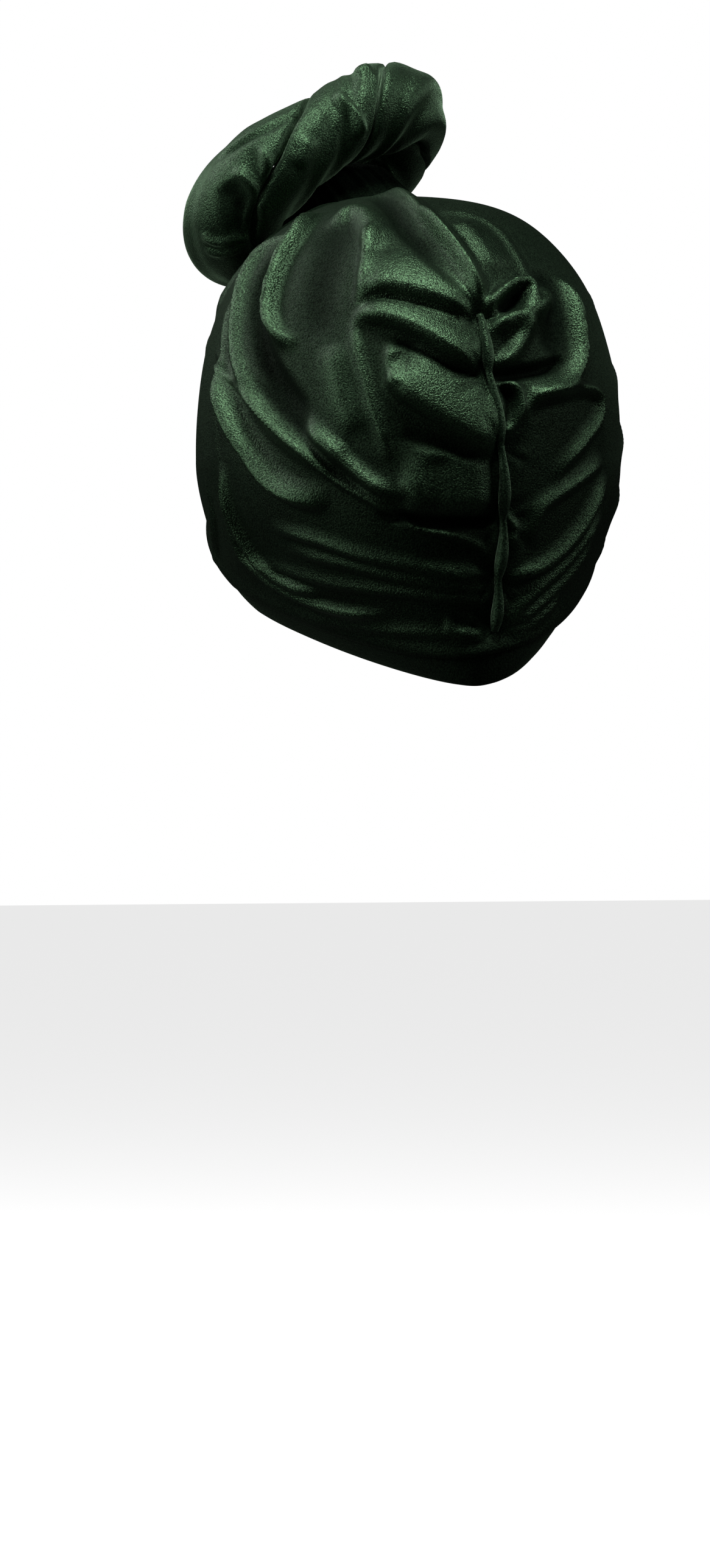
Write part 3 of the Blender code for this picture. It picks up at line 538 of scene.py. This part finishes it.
def relief(points, normals, folds):
    """How far the folds lift each point."""
    lift = np.zeros(len(points))
    for height, width, lean, path, path_normals in folds:
        reach = width * (1.0 + abs(lean)) + FOLD_MARGIN
        near = np.all((points > path.min(axis=0) - reach) & (points < path.max(axis=0) + reach),
                      axis=1)
        some, some_normals = points[near], normals[near]
        if not len(some):
            continue
        gaps = some[:, None, :] - path[None, :, :]
        nearest = np.argmin(np.einsum("pci,pci->pc", gaps, gaps), axis=1)
        steps = np.gradient(path, axis=0)[nearest]
        offset = gaps[np.arange(len(some)), nearest]
        aside = np.einsum("pi,pi->p", np.cross(unit(steps), some_normals), offset)
        spans = np.linalg.norm(steps, axis=1)
        past = np.einsum("pi,pi->p", steps, offset) / spans
        ends = np.minimum(nearest + past / spans, len(path) - 1 - nearest - past / spans)
        fade = np.sin(0.5 * math.pi * np.clip(ends / (FADE_SHARE * len(path)), 0.0, 1.0))
        away = np.sqrt(np.maximum(np.einsum("pi,pi->p", offset, offset) - past ** 2, 0.0))
        side = np.tanh(aside / (LEAN_BLEND * width))
        share = np.clip(away / (width * (1.0 + lean * side)), 0.0, 1.0)
        facing = TURN_GAIN * np.einsum("pi,pi->p", some_normals, path_normals[nearest])
        facing = np.clip(facing, 0.0, 1.0)
        round_top = 0.5 * (1.0 + np.cos(math.pi * share))
        ridge = np.clip(1.0 - np.sqrt(share ** 2 + RIDGE_ROUND), 0.0, 1.0) ** RIDGE_POWER
        crisp = CRISP_SHARE if height > 0.0 else 0.0
        lift[near] += height * fade * facing * ((1.0 - crisp) * round_top + crisp * ridge)
    return lift


def above_rim(points):
    """Height of points above the sloping edge of the cap's opening, rolled at the back."""
    x, y, z = points[..., 0], points[..., 1], points[..., 2]
    roll = RIM_ROLL * np.clip(y / (ROLL_SPREAD * HALF_LENGTH) - ROLL_START, 0.0, 1.0)
    return z - (RIM_LEVEL - RIM_SLOPE * y - roll * x)


def knot_foot():
    """The point of the smooth form under the middle of the knot."""
    start = np.array([KNOT_FOOT[0] * HALF_BREADTH, KNOT_FOOT[1] * HALF_LENGTH, 0.0])
    return cross_form(start, UP)


def turns_round(count):
    """Even turns round a circle."""
    return np.arange(count) * math.tau / count


def column_ways(count):
    """Ways out of the crown's axis to its columns, closer together at the gathered back."""
    spread = turns_round(count)
    turns = spread - BACK_CROWDING * np.sin(spread)
    return np.stack([np.sin(turns), np.cos(turns), np.zeros(count)], axis=-1)


def down_ways(angles, aside):
    """Ways at these angles from straight up, each leaning aside in its column."""
    return np.cos(angles)[..., None] * UP + np.sin(angles)[..., None] * aside


def rim_points(aside, height):
    """Polar angles and points of the form at this height above the rim, one for each column."""
    low, high = [np.full(len(aside), math.radians(angle)) for angle in RIM_ANGLES]
    for _ in range(RIM_HALVINGS):
        middle = 0.5 * (low + high)
        points = from_middle(down_ways(middle, aside))
        above = above_rim(points) > height
        low = np.where(above, middle, low)
        high = np.where(above, high, middle)
    return low, points


def seam_pinches(points):
    """Dents where the seam's gathers are caught."""
    dent = np.zeros(len(points))
    for mark in SEAM_LINE:
        far = np.linalg.norm(points - seen_point(*mark), axis=1) / (PINCH_REACH * SEAM_WIDTH)
        dent += PINCH_DEPTH * SEAM_RISE * np.exp(-far ** 2)
    return dent


def gather_rays(points):
    """Fine puckers that fan out from the seam's gathers."""
    lift = np.zeros(len(points))
    for place, mark in enumerate(SEAM_LINE):
        middle = seen_point(*mark)
        normal = outward(middle[None])[0]
        right = unit(np.cross(UP, normal))
        offset = points - middle
        far = np.linalg.norm(offset, axis=1)
        turn = np.arctan2(offset @ np.cross(normal, right), offset @ right)
        wave = sum(share * np.sin(count * turn + step * place) for share, count, step in PUCKERS)
        ring = np.exp(-((far - PUCKER_RING) / PUCKER_SPREAD) ** 2)
        lift += PUCKER_HEIGHT * wave * ring * np.clip(far / PUCKER_START, 0, 1)
    return lift


def hand_ripple(points):
    """Slow, slight unevenness of cloth that is drawn tight by hand."""
    x, y, z = points.T
    return RIPPLE_HEIGHT * sum(share * np.sin(by_z * z + by_x * x + by_y * y + phase)
                               for share, by_z, by_x, by_y, phase in RIPPLES)


def new_object(name, data):
    """An object for this data, put in the scene."""
    made = bpy.data.objects.new(name, data)
    bpy.context.scene.collection.objects.link(made)
    return made


def add_object(name, points, faces, material, replaced, painted_light=None):
    """One named piece with its cloth, riding on the part and standing for a solid."""
    mesh = bpy.data.meshes.new(name)
    lowered = points - UP * SEAT_RISE
    mesh.from_pydata([tuple(float(value) for value in point) for point in lowered], [], faces)
    mesh.update()
    mesh.materials.append(material)
    mesh.shade_smooth()
    if painted_light is not None:
        mesh.attributes.new("painted_light", "FLOAT", "POINT").data.foreach_set("value", painted_light)
    piece = new_object(name, mesh)
    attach(piece, "root")
    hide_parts(replaced)
    return piece


def crown_points():
    """Points of the folded crown in rows, from its pole down over the top of the hem band, and
    the painted light at each: painted shade in its fold hollows, a painted highlight on its ridges."""
    aside = column_ways(CROWN_COLUMNS)
    ends, _ = rim_points(aside, BAND_HEIGHT - CROWN_LAP)
    shares = np.linspace(0.0, 1.0, CROWN_ROWS + 1)[1:, None]
    grid = from_middle(down_ways(shares * ends[None, :], aside))
    points = np.vstack([from_middle(UP)[None], grid.reshape(-1, 3)])
    normals = outward(points)
    high = above_rim(points) - BAND_HEIGHT
    calm = np.clip((high + CALM_START) / CALM_SPAN, 0.0, 1.0)
    lap = LAP_RISE * np.exp(-(np.clip(high, 0.0, None) / LAP_SPAN) ** 2)
    far = np.linalg.norm(points - knot_foot(), axis=1) / (KNOT_HALF_DEPTH + NECK_FLARE)
    folds = relief(points, normals, crown_folds())
    lift = folds + gather_rays(points)
    lift = (lift - seam_pinches(points) + hand_ripple(points)) * calm + lap
    lift += NECK_DRAW * NECK_FLARE * np.exp(-far ** 2)
    # The fold lift, calmed near the hem, is handed on as painted light: painted shade in the
    # hollows and a painted highlight on the ridges
    return points + normals * lift[:, None], folds * calm / FOLD_HEIGHT


def crown_faces():
    """Faces of the crown's grid."""
    faces = []
    for column in range(CROWN_COLUMNS):
        beside = (column + 1) % CROWN_COLUMNS
        faces.append((0, 1 + column, 1 + beside)[::-1])
        for row in range(CROWN_ROWS - 1):
            upper = 1 + row * CROWN_COLUMNS
            lower = upper + CROWN_COLUMNS
            faces.append((upper + beside, lower + beside, lower + column, upper + column))
    return faces


def ring_faces(rings, sides, closed):
    """Faces between rings of points, and from the last ring to the first if closed."""
    faces = []
    for ring in range(rings if closed else rings - 1):
        after = (ring + 1) % rings
        for side in range(sides):
            beside = (side + 1) % sides
            faces.append((ring * sides + side, ring * sides + beside, after * sides + beside,
                          after * sides + side))
    return faces


def faced_out(piece):
    """Turns a closed piece's faces outwards."""
    mesh = piece.data
    volume = 0.0
    for face in mesh.polygons:
        corners = [mesh.vertices[index].co for index in face.vertices]
        for step in range(1, len(corners) - 1):
            volume += corners[0].dot(corners[step].cross(corners[step + 1]))
    if volume < 0.0:
        mesh.flip_normals()


def hem_points():
    """Sections of the doubled hem band, round its lower edge and back up inside."""
    aside = column_ways(CROWN_COLUMNS)
    rows = []
    for height, depth in BAND_SECTION:
        _, points = rim_points(aside, BAND_HEIGHT * height)
        rows.append(points - outward(points) * BAND_THICK * depth)
    return np.stack(rows, axis=1).reshape(-1, 3)


def seam_points():
    """The rolled seam down the back, pinched where its gathers are caught."""
    marks = np.array([seen_point(*mark) for mark in SEAM_LINE])
    path = onto_form(smooth_path(marks, SEAM_STATIONS))
    normals = outward(path)
    ahead = unit(np.gradient(path, axis=0))
    across = np.cross(ahead, normals)
    caught = [np.argmin(np.linalg.norm(path - mark, axis=1)) for mark in marks]
    full = np.interp(np.arange(SEAM_STATIONS), caught, np.arange(len(caught)))
    step = full - np.floor(full)
    swell = SEAM_LEAST + SEAM_SWELL * np.sin(math.pi * step ** SEAM_SWELL_POWER)
    bow = -SEAM_BOW * np.sin(math.pi * step)
    turns = turns_round(SEAM_SIDES)
    rings = []
    for station in range(SEAM_STATIONS):
        half = 0.5 * SEAM_WIDTH * swell[station]
        height = SEAM_RISE * swell[station]
        centre = path[station] + across[station] * bow[station] + normals[station] * SEAM_STAND
        rings.append(centre + np.cos(turns)[:, None] * across[station] * half
                     + np.sin(turns)[:, None] * normals[station] * height)
    return np.vstack(rings)


def loop_axes():
    """The ways along the knot's width and its depth, and out of its face."""
    tilt, pitch = math.radians(KNOT_SIDE_TILT), math.radians(KNOT_PITCH)
    wide = np.array([-math.cos(tilt), 0.0, math.sin(tilt)])
    deep = np.array([0.0, math.cos(pitch), math.sin(pitch)])
    return wide, deep, unit(np.cross(deep, wide))


def loop_frames(place, stations):
    """Centres of the rope round the knot's loop, and two directions square to it at each."""
    wide, deep, face = loop_axes()
    turns = turns_round(stations)
    power = 2.0 / LOOP_POWER
    across = np.sign(np.cos(turns)) * np.abs(np.cos(turns)) ** power * KNOT_HALF_WIDTH
    back = np.sign(np.sin(turns)) * np.abs(np.sin(turns)) ** power * KNOT_HALF_DEPTH
    rough = across[:, None] * wide + back[:, None] * deep
    closed = np.vstack([rough, rough[:1]])
    along = lengths_along(closed)
    even = points_at(np.arange(stations) * along[-1] / stations, along, closed)
    for _ in range(max(1, round((stations / SOLID_STATIONS) ** 2))):
        even = 0.25 * np.roll(even, 1, axis=0) + 0.5 * even + 0.25 * np.roll(even, -1, axis=0)
    ahead = unit(np.roll(even, -1, axis=0) - np.roll(even, 1, axis=0))
    out = unit(np.cross(face, ahead))
    return place + even, out, np.broadcast_to(face, out.shape)


def strand_section(radius, sides):
    """Outline of one strand: a half round with soft corners, flat towards its fellow."""
    heart = STRAND_HEART * radius
    turns = turns_round(sides)
    cosine = np.cos(turns)
    to_round = -heart * cosine + np.sqrt(radius ** 2 - (heart * np.sin(turns)) ** 2)
    to_flat = (heart - 0.5 * STRAND_GAP) / np.clip(-cosine, 1e-6, None)
    length = (to_round ** -STRAND_SOFT + to_flat ** -STRAND_SOFT) ** (-1.0 / STRAND_SOFT)
    return np.stack([heart + length * cosine, length * np.sin(turns)], axis=-1)


def strand_points(place, half_turn, stations, sides):
    """Points of one strand of the twisted rope."""
    centres, out, face = loop_frames(place, stations)
    shares = np.arange(stations) / stations
    twist = half_turn - np.interp(shares, *zip(*STRAND_TWIST)) * math.tau
    swell = np.interp(shares, *zip(*ROPE_SWELL)) * ROPE_RADIUS
    points = []
    for station in range(stations):
        cosine, sine = math.cos(twist[station]), math.sin(twist[station])
        one = out[station] * cosine + face[station] * sine
        other = -out[station] * sine + face[station] * cosine
        for share_one, share_other in strand_section(swell[station], sides):
            points.append(centres[station] + one * share_one + other * share_other)
    return np.array(points)


def knot_place():
    """The middle of the knot's loop, where the solids' strands have it."""
    place = knot_foot() + loop_axes()[2] * KNOT_STAND
    both = np.vstack([strand_points(place, half_turn, SOLID_STATIONS, SOLID_SIDES)
                      for half_turn in (0.0, math.pi)])
    corners = [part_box(name) for name in ("knot_strand_a", "knot_strand_b")]
    low = np.min([np.array(corner[0]) for corner in corners], axis=0)
    high = np.max([np.array(corner[1]) for corner in corners], axis=0)
    middle = 0.5 * (low + high) + UP * SEAT_RISE
    return place + middle - 0.5 * (both.min(axis=0) + both.max(axis=0))


def grid_normals(points, rings, sides):
    """Normals of a closed loop of rings of points."""
    grid = points.reshape(rings, sides, 3)
    along = np.roll(grid, -1, axis=0) - np.roll(grid, 1, axis=0)
    around = np.roll(grid, -1, axis=1) - np.roll(grid, 1, axis=1)
    normals = unit(np.cross(along, around))
    outside = grid - grid.mean(axis=1, keepdims=True)
    sign = np.sign(np.einsum("rsi,rsi->rs", normals, outside).sum())
    return (normals * sign).reshape(-1, 3)


def surface_tree(points, faces):
    """The surface that rays are cast onto."""
    return BVHTree.FromPolygons([Vector(point) for point in points], faces)


def knot_folds(strands, faces):
    """The creases of the knot, thrown along the camera's rays onto its strands."""
    trees = [surface_tree(points, faces) for points in strands]
    eye = eye_point()
    folds = []
    for _, height, width, lean, chart in KNOT_FOLDS:
        marks, facing = [], []
        for mark in chart:
            way = unit(pixel_point(*mark) - eye)
            hits = [tree.ray_cast(Vector(eye), Vector(way)) for tree in trees]
            hits = [hit for hit in hits if hit[0] is not None]
            if hits:
                hit = min(hits, key=lambda found: found[3])
                marks.append(np.array(hit[0]))
                facing.append(-way)
        if len(marks) > 1:
            path = smooth_path(marks, KNOT_FOLD_POINTS)
            folds.append((height * FOLD_HEIGHT, width * FOLD_WIDTH, lean, path,
                          np.broadcast_to(unit(np.mean(facing, axis=0)), path.shape)))
    return folds


def strand_wrinkles(count, sides, seed):
    """Long slight folds along a strand, wound round it with the twist."""
    draw = np.random.default_rng(seed)
    along = np.arange(count)[:, None] / count * math.tau
    around = np.arange(sides)[None, :] / sides * math.tau
    lift = np.zeros((count, sides))
    for _ in range(WRINKLES):
        waves, turns = draw.integers(2, 6), draw.integers(-2, 3)
        phase, size = draw.uniform(0, math.tau), draw.uniform(0.4, 1.0)
        lift += size * np.sin(waves * around + turns * along + phase)
    return (WRINKLE_HEIGHT * lift * (0.5 + 0.5 * np.cos(around))).ravel()


def neck_points(place, tree):
    """Fluted rings of the gathered neck, from its tucked top down to the crown."""
    wide, deep, face = loop_axes()
    turns = turns_round(NECK_SIDES)
    rope = np.interp(turns / math.tau, *zip(*ROPE_SWELL)) * ROPE_RADIUS + NECK_CLEAR
    flute = sum(share * np.sin(count * turns + phase) for share, count, phase in FLUTES)

    def ring(height, flare=0.0):
        room = np.sqrt(np.maximum(rope ** 2 - height ** 2, (NECK_WAIST * rope) ** 2))
        room = room / math.sqrt(1.0 - np.dot(wide, deep) ** 2) + FLUTE_DEPTH * flute
        half = (KNOT_HALF_WIDTH - NECK_END * room) * (1.0 + flare)
        across = (np.cos(turns) * half)[:, None] * wide
        back = (np.sin(turns) * (KNOT_HALF_DEPTH - room))[:, None] * deep
        lift = np.broadcast_to(height, (NECK_SIDES,))
        return place + across + back + face * lift[:, None]

    foot = np.full(NECK_SIDES, -FOOT_GUESS * ROPE_RADIUS)
    for _ in range(FOOT_PASSES):
        edge = ring(foot, NECK_SPREAD) - face * foot[:, None]
        for side, point in enumerate(edge):
            hit = tree.ray_cast(Vector(point), Vector(-face))[0]
            foot[side] = -(Vector(point) - hit).length if hit else foot[side]
    top = ring(NECK_TOP * TOP_LEVEL)
    middle = top.mean(axis=0)
    rings = [middle + share * (top - middle) - face * TOP_HOLLOW * (1.0 - share)
             + face * (TOP_FLUTE_DEPTH * flute)[:, None] for share in TOP_SHARES]
    rings += [ring(share * NECK_TOP) for share in (1.0, 0.5)]
    rings += [ring(share * foot, NECK_SPREAD * share ** SPREAD_POWER)
              for share in np.linspace(0.0, 1.0, NECK_RINGS)]
    return np.vstack(rings), len(rings)


def velvet(name, dark, light, sheen, seed):
    """Short velvet pile: a near-black green body, brushed patches, and a green sheen, with shade
    painted into fold hollows and a highlight of extra gloss painted onto ridges.
    """
    material = bpy.data.materials.new(name)
    material.use_nodes = True
    nodes, links = material.node_tree.nodes, material.node_tree.links
    shader = nodes["Principled BSDF"]
    place = nodes.new("ShaderNodeTexCoord")
    moved = nodes.new("ShaderNodeMapping")
    moved.inputs["Location"].default_value = [seed * move for move in NOISE_MOVE]
    links.new(place.outputs["Object"], moved.inputs["Vector"])

    def noise(scale, detail, distortion):
        texture = nodes.new("ShaderNodeTexNoise")
        texture.inputs["Scale"].default_value = scale
        texture.inputs["Detail"].default_value = detail
        texture.inputs["Distortion"].default_value = distortion
        links.new(moved.outputs["Vector"], texture.inputs["Vector"])
        return texture.outputs["Fac"]

    def mapped(source, ends, way="LINEAR"):
        change = nodes.new("ShaderNodeMapRange")
        change.interpolation_type = way
        for socket, value in zip(("From Min", "From Max", "To Min", "To Max"), ends):
            change.inputs[socket].default_value = value
        links.new(source, change.inputs["Value"])
        return change.outputs["Result"]

    def mixed(blend="MIX"):
        mix = nodes.new("ShaderNodeMix")
        mix.data_type = "RGBA"
        mix.blend_type = blend
        return mix

    def reckoned(operation, first, second, socket):
        step = nodes.new("ShaderNodeMath")
        step.operation = operation
        links.new(first, step.inputs[0])
        links.new(second, step.inputs[1])
        links.new(step.outputs["Value"], shader.inputs[socket])

    def bump(source, strength, depth):
        rough = nodes.new("ShaderNodeBump")
        rough.inputs["Strength"].default_value = strength
        rough.inputs["Distance"].default_value = depth
        links.new(source, rough.inputs["Height"])
        return rough

    brushed, pile, clumps = noise(*BRUSHED), noise(*PILE), noise(*CLUMPS)
    attribute = nodes.new("ShaderNodeAttribute")
    attribute.attribute_name = "painted_light"
    painted_light = attribute.outputs["Fac"]

    body = mixed()
    body.inputs["A"].default_value = (*dark, 1.0)
    body.inputs["B"].default_value = (*light, 1.0)
    links.new(mapped(brushed, BRUSHED_TO_COLOUR), body.inputs["Factor"])
    grey = nodes.new("ShaderNodeCombineColor")
    value = mapped(pile, PILE_TO_COLOUR)
    for channel in ("Red", "Green", "Blue"):
        links.new(value, grey.inputs[channel])
    speckle = mixed("MULTIPLY")
    speckle.inputs["Factor"].default_value = 1.0
    links.new(body.outputs["Result"], speckle.inputs["A"])
    links.new(grey.outputs["Color"], speckle.inputs["B"])
    # Painted shade: the body is mixed towards the near-black where the painted light is low,
    # darkening fold hollows and the neck
    painted_shade_mix = mixed()
    painted_shade_mix.inputs["A"].default_value = (*PAINTED_HOLLOW_SHADE, 1.0)
    links.new(speckle.outputs["Result"], painted_shade_mix.inputs["B"])
    links.new(mapped(painted_light, PAINTED_LIGHT_TO_COLOUR), painted_shade_mix.inputs["Factor"])
    links.new(painted_shade_mix.outputs["Result"], shader.inputs["Base Color"])

    # Painted highlight: gloss rises with the painted light on fold ridges, the knot and the seam,
    # and falls in the hollows and on the neck
    reckoned("MULTIPLY", mapped(painted_light, PAINTED_LIGHT_TO_GLOSS, "SMOOTHSTEP"), mapped(pile, PILE_TO_GLOSS),
             "Specular IOR Level")
    reckoned("ADD", mapped(clumps, CLUMPS_TO_ROUGHNESS),
             mapped(painted_light, PAINTED_LIGHT_TO_ROUGHNESS, "SMOOTHSTEP"), "Roughness")
    fine_bump = bump(pile, *PILE_BUMP)
    links.new(bump(clumps, *CLUMP_BUMP).outputs["Normal"], fine_bump.inputs["Normal"])
    links.new(fine_bump.outputs["Normal"], shader.inputs["Normal"])
    shader.inputs["Metallic"].default_value = 0.0
    shader.inputs["Specular Tint"].default_value = (*SPECULAR_TINT, 1.0)
    shader.inputs["Sheen Weight"].default_value = sheen
    shader.inputs["Sheen Roughness"].default_value = SHEEN_ROUGHNESS
    shader.inputs["Sheen Tint"].default_value = (*SHEEN_TINT, 1.0)
    return material


def area_light(name, right_way, eye_way, up_way, size, power, aim_up):
    """A soft square light, placed by ways to the right, to the camera and up, aimed at the part."""
    right, to_eye = view_axes()
    lamp = bpy.data.lights.new(name, "AREA")
    lamp.shape = "RECTANGLE"
    lamp.size, lamp.size_y = size
    lamp.energy = power
    holder = new_object(name, lamp)
    place = Vector(right * right_way + to_eye * eye_way + UP * up_way)
    holder.location = place
    holder.rotation_euler = (Vector((0, 0, aim_up)) - place).to_track_quat("-Z", "Y").to_euler()


def seen_or_lit(tree, lit, seen, output):
    """One look for what the lens sees of the studio, and a dimmer one for what it lights."""
    path = tree.nodes.new("ShaderNodeLightPath")
    mix = tree.nodes.new("ShaderNodeMixShader")
    tree.links.new(path.outputs["Is Camera Ray"], mix.inputs["Fac"])
    tree.links.new(lit, mix.inputs[1])
    tree.links.new(seen, mix.inputs[2])
    tree.links.new(mix.outputs["Shader"], tree.nodes[output].inputs["Surface"])


def floor():
    """A pale floor that glows white to the lens and hardly lights the part."""
    corners = [(-FLOOR_HALF, -FLOOR_HALF), (FLOOR_HALF, -FLOOR_HALF),
               (FLOOR_HALF, FLOOR_HALF), (-FLOOR_HALF, FLOOR_HALF)]
    mesh = bpy.data.meshes.new("floor")
    mesh.from_pydata([(x, y, -FLOOR_DROP) for x, y in corners], [], [(0, 1, 2, 3)])
    piece = new_object("floor", mesh)
    paper = bpy.data.materials.new("floor_paper")
    paper.use_nodes = True
    tree = paper.node_tree
    shader = tree.nodes["Principled BSDF"]
    shader.inputs["Base Color"].default_value = (FLOOR_WHITE, FLOOR_WHITE, FLOOR_WHITE, 1.0)
    shader.inputs["Roughness"].default_value = FLOOR_ROUGHNESS
    shader.inputs["Emission Color"].default_value = (1.0, 1.0, 1.0, 1.0)
    shader.inputs["Emission Strength"].default_value = FLOOR_GLOW
    dull = tree.nodes.new("ShaderNodeBsdfDiffuse")
    dull.inputs["Color"].default_value = (FLOOR_BOUNCE, FLOOR_BOUNCE, FLOOR_BOUNCE, 1.0)
    seen_or_lit(tree, dull.outputs["BSDF"], shader.outputs["BSDF"], "Material Output")
    mesh.materials.append(paper)


def surround():
    """A white surround to the lens, and a faint light from it on the part."""
    world = bpy.data.worlds.new("surround")
    bpy.context.scene.world = world
    world.use_nodes = True
    tree = world.node_tree
    seen, lit = tree.nodes["Background"], tree.nodes.new("ShaderNodeBackground")
    for background, strength in ((seen, 1.0), (lit, SURROUND_LIGHT)):
        background.inputs["Color"].default_value = (1.0, 1.0, 1.0, 1.0)
        background.inputs["Strength"].default_value = strength
    seen_or_lit(tree, lit.outputs["Background"], seen.outputs["Background"], "World Output")


def view():
    """The photograph's camera."""
    camera = bpy.data.cameras.new("camera")
    camera.lens = VIEW_LENS
    camera.sensor_width = SENSOR
    holder = new_object("camera", camera)
    holder.location = eye_point() - UP * SEAT_RISE
    holder.rotation_euler = (math.pi / 2, 0.0, math.radians(VIEW_AZIMUTH))
    scene = bpy.context.scene
    scene.camera = holder
    scene.view_settings.view_transform = "Standard"
    scene.view_settings.look = "None"


def build_crown(material):
    """The crown, with the cloth's thickness inwards, and the surface it is built on."""
    points, painted_light = crown_points()
    faces = crown_faces()
    piece = add_object("velvet_crown", points, faces, material, "crown", painted_light)
    shell = piece.modifiers.new("cloth", "SOLIDIFY")
    shell.thickness = CLOTH
    shell.offset = -1.0
    return piece, surface_tree(points, faces)


def build_strands(place, material):
    """The two twisted strands of the knot."""
    strands = [strand_points(place, half_turn, LOOP_STATIONS, STRAND_SIDES)
               for half_turn in (0.0, math.pi)]
    faces = ring_faces(LOOP_STATIONS, STRAND_SIDES, True)
    folds = knot_folds(strands, faces)
    around = np.tile(np.arange(STRAND_SIDES) / STRAND_SIDES * math.tau, LOOP_STATIONS)
    shown = np.clip(SHOWN_BASE + SHOWN_SWING * np.cos(around), 0.0, 1.0)
    for letter, points in zip("ab", strands):
        normals = grid_normals(points, LOOP_STATIONS, STRAND_SIDES)
        lift = relief(points, normals, folds) * shown
        # The knot's creases paint shade in its hollows and a highlight on its ridges, and the whole
        # knot is painted lighter
        painted_light = lift / FOLD_HEIGHT + KNOT_PAINTED_LIGHT
        lift += strand_wrinkles(LOOP_STATIONS, STRAND_SIDES, WRINKLE_SEEDS[letter])
        piece = add_object("velvet_strand_" + letter, points + normals * lift[:, None], faces,
                           material, "knot_strand_" + letter, painted_light)
        faced_out(piece)


def tube_faces(rings, sides):
    """Faces of an open row of rings with a lid at each end."""
    last = (rings - 1) * sides
    lids = [tuple(range(sides))[::-1], tuple(range(last, last + sides))]
    return ring_faces(rings, sides, False) + lids


def build_neck(place, tree, material):
    """The gathered neck between the strands."""
    points, rings = neck_points(place, tree)
    # Painted shade over the whole neck, standing for the shadow under the knot
    piece = add_object("velvet_neck", points, tube_faces(rings, NECK_SIDES), material,
                       "knot_neck", np.full(len(points), NECK_PAINTED_SHADE))
    faced_out(piece)


def build_band(material):
    """The doubled band round the opening."""
    faces = ring_faces(CROWN_COLUMNS, len(BAND_SECTION), True)
    piece = add_object("velvet_band", hem_points(), faces, material, "hem_band")
    faced_out(piece)
    return piece


def build_seam(material):
    """The rolled seam down the back."""
    points = seam_points()
    # Painted highlight along the whole seam
    piece = add_object("velvet_seam", points, tube_faces(SEAM_STATIONS, SEAM_SIDES), material,
                       "back_seam", np.full(len(points), SEAM_PAINTED_HIGHLIGHT))
    faced_out(piece)
    return piece


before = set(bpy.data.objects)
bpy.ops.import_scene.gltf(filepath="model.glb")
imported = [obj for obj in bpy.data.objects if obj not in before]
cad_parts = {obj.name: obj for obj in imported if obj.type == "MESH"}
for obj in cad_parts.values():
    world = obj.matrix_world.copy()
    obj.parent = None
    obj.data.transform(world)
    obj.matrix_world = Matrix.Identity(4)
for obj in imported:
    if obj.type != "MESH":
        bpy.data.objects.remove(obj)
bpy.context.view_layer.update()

cloths = {name: velvet(name, *look) for name, look in VELVETS.items()}
crown, crown_tree = build_crown(cloths["velvet_crown"])
knot = knot_place()
build_strands(knot, cloths["velvet_knot"])
build_neck(knot, crown_tree, cloths["velvet_neck"])
band = build_band(cloths["velvet_band"])
seam = build_seam(cloths["velvet_seam"])

floor()
surround()
for light in LIGHTS:
    area_light(*light)
view()
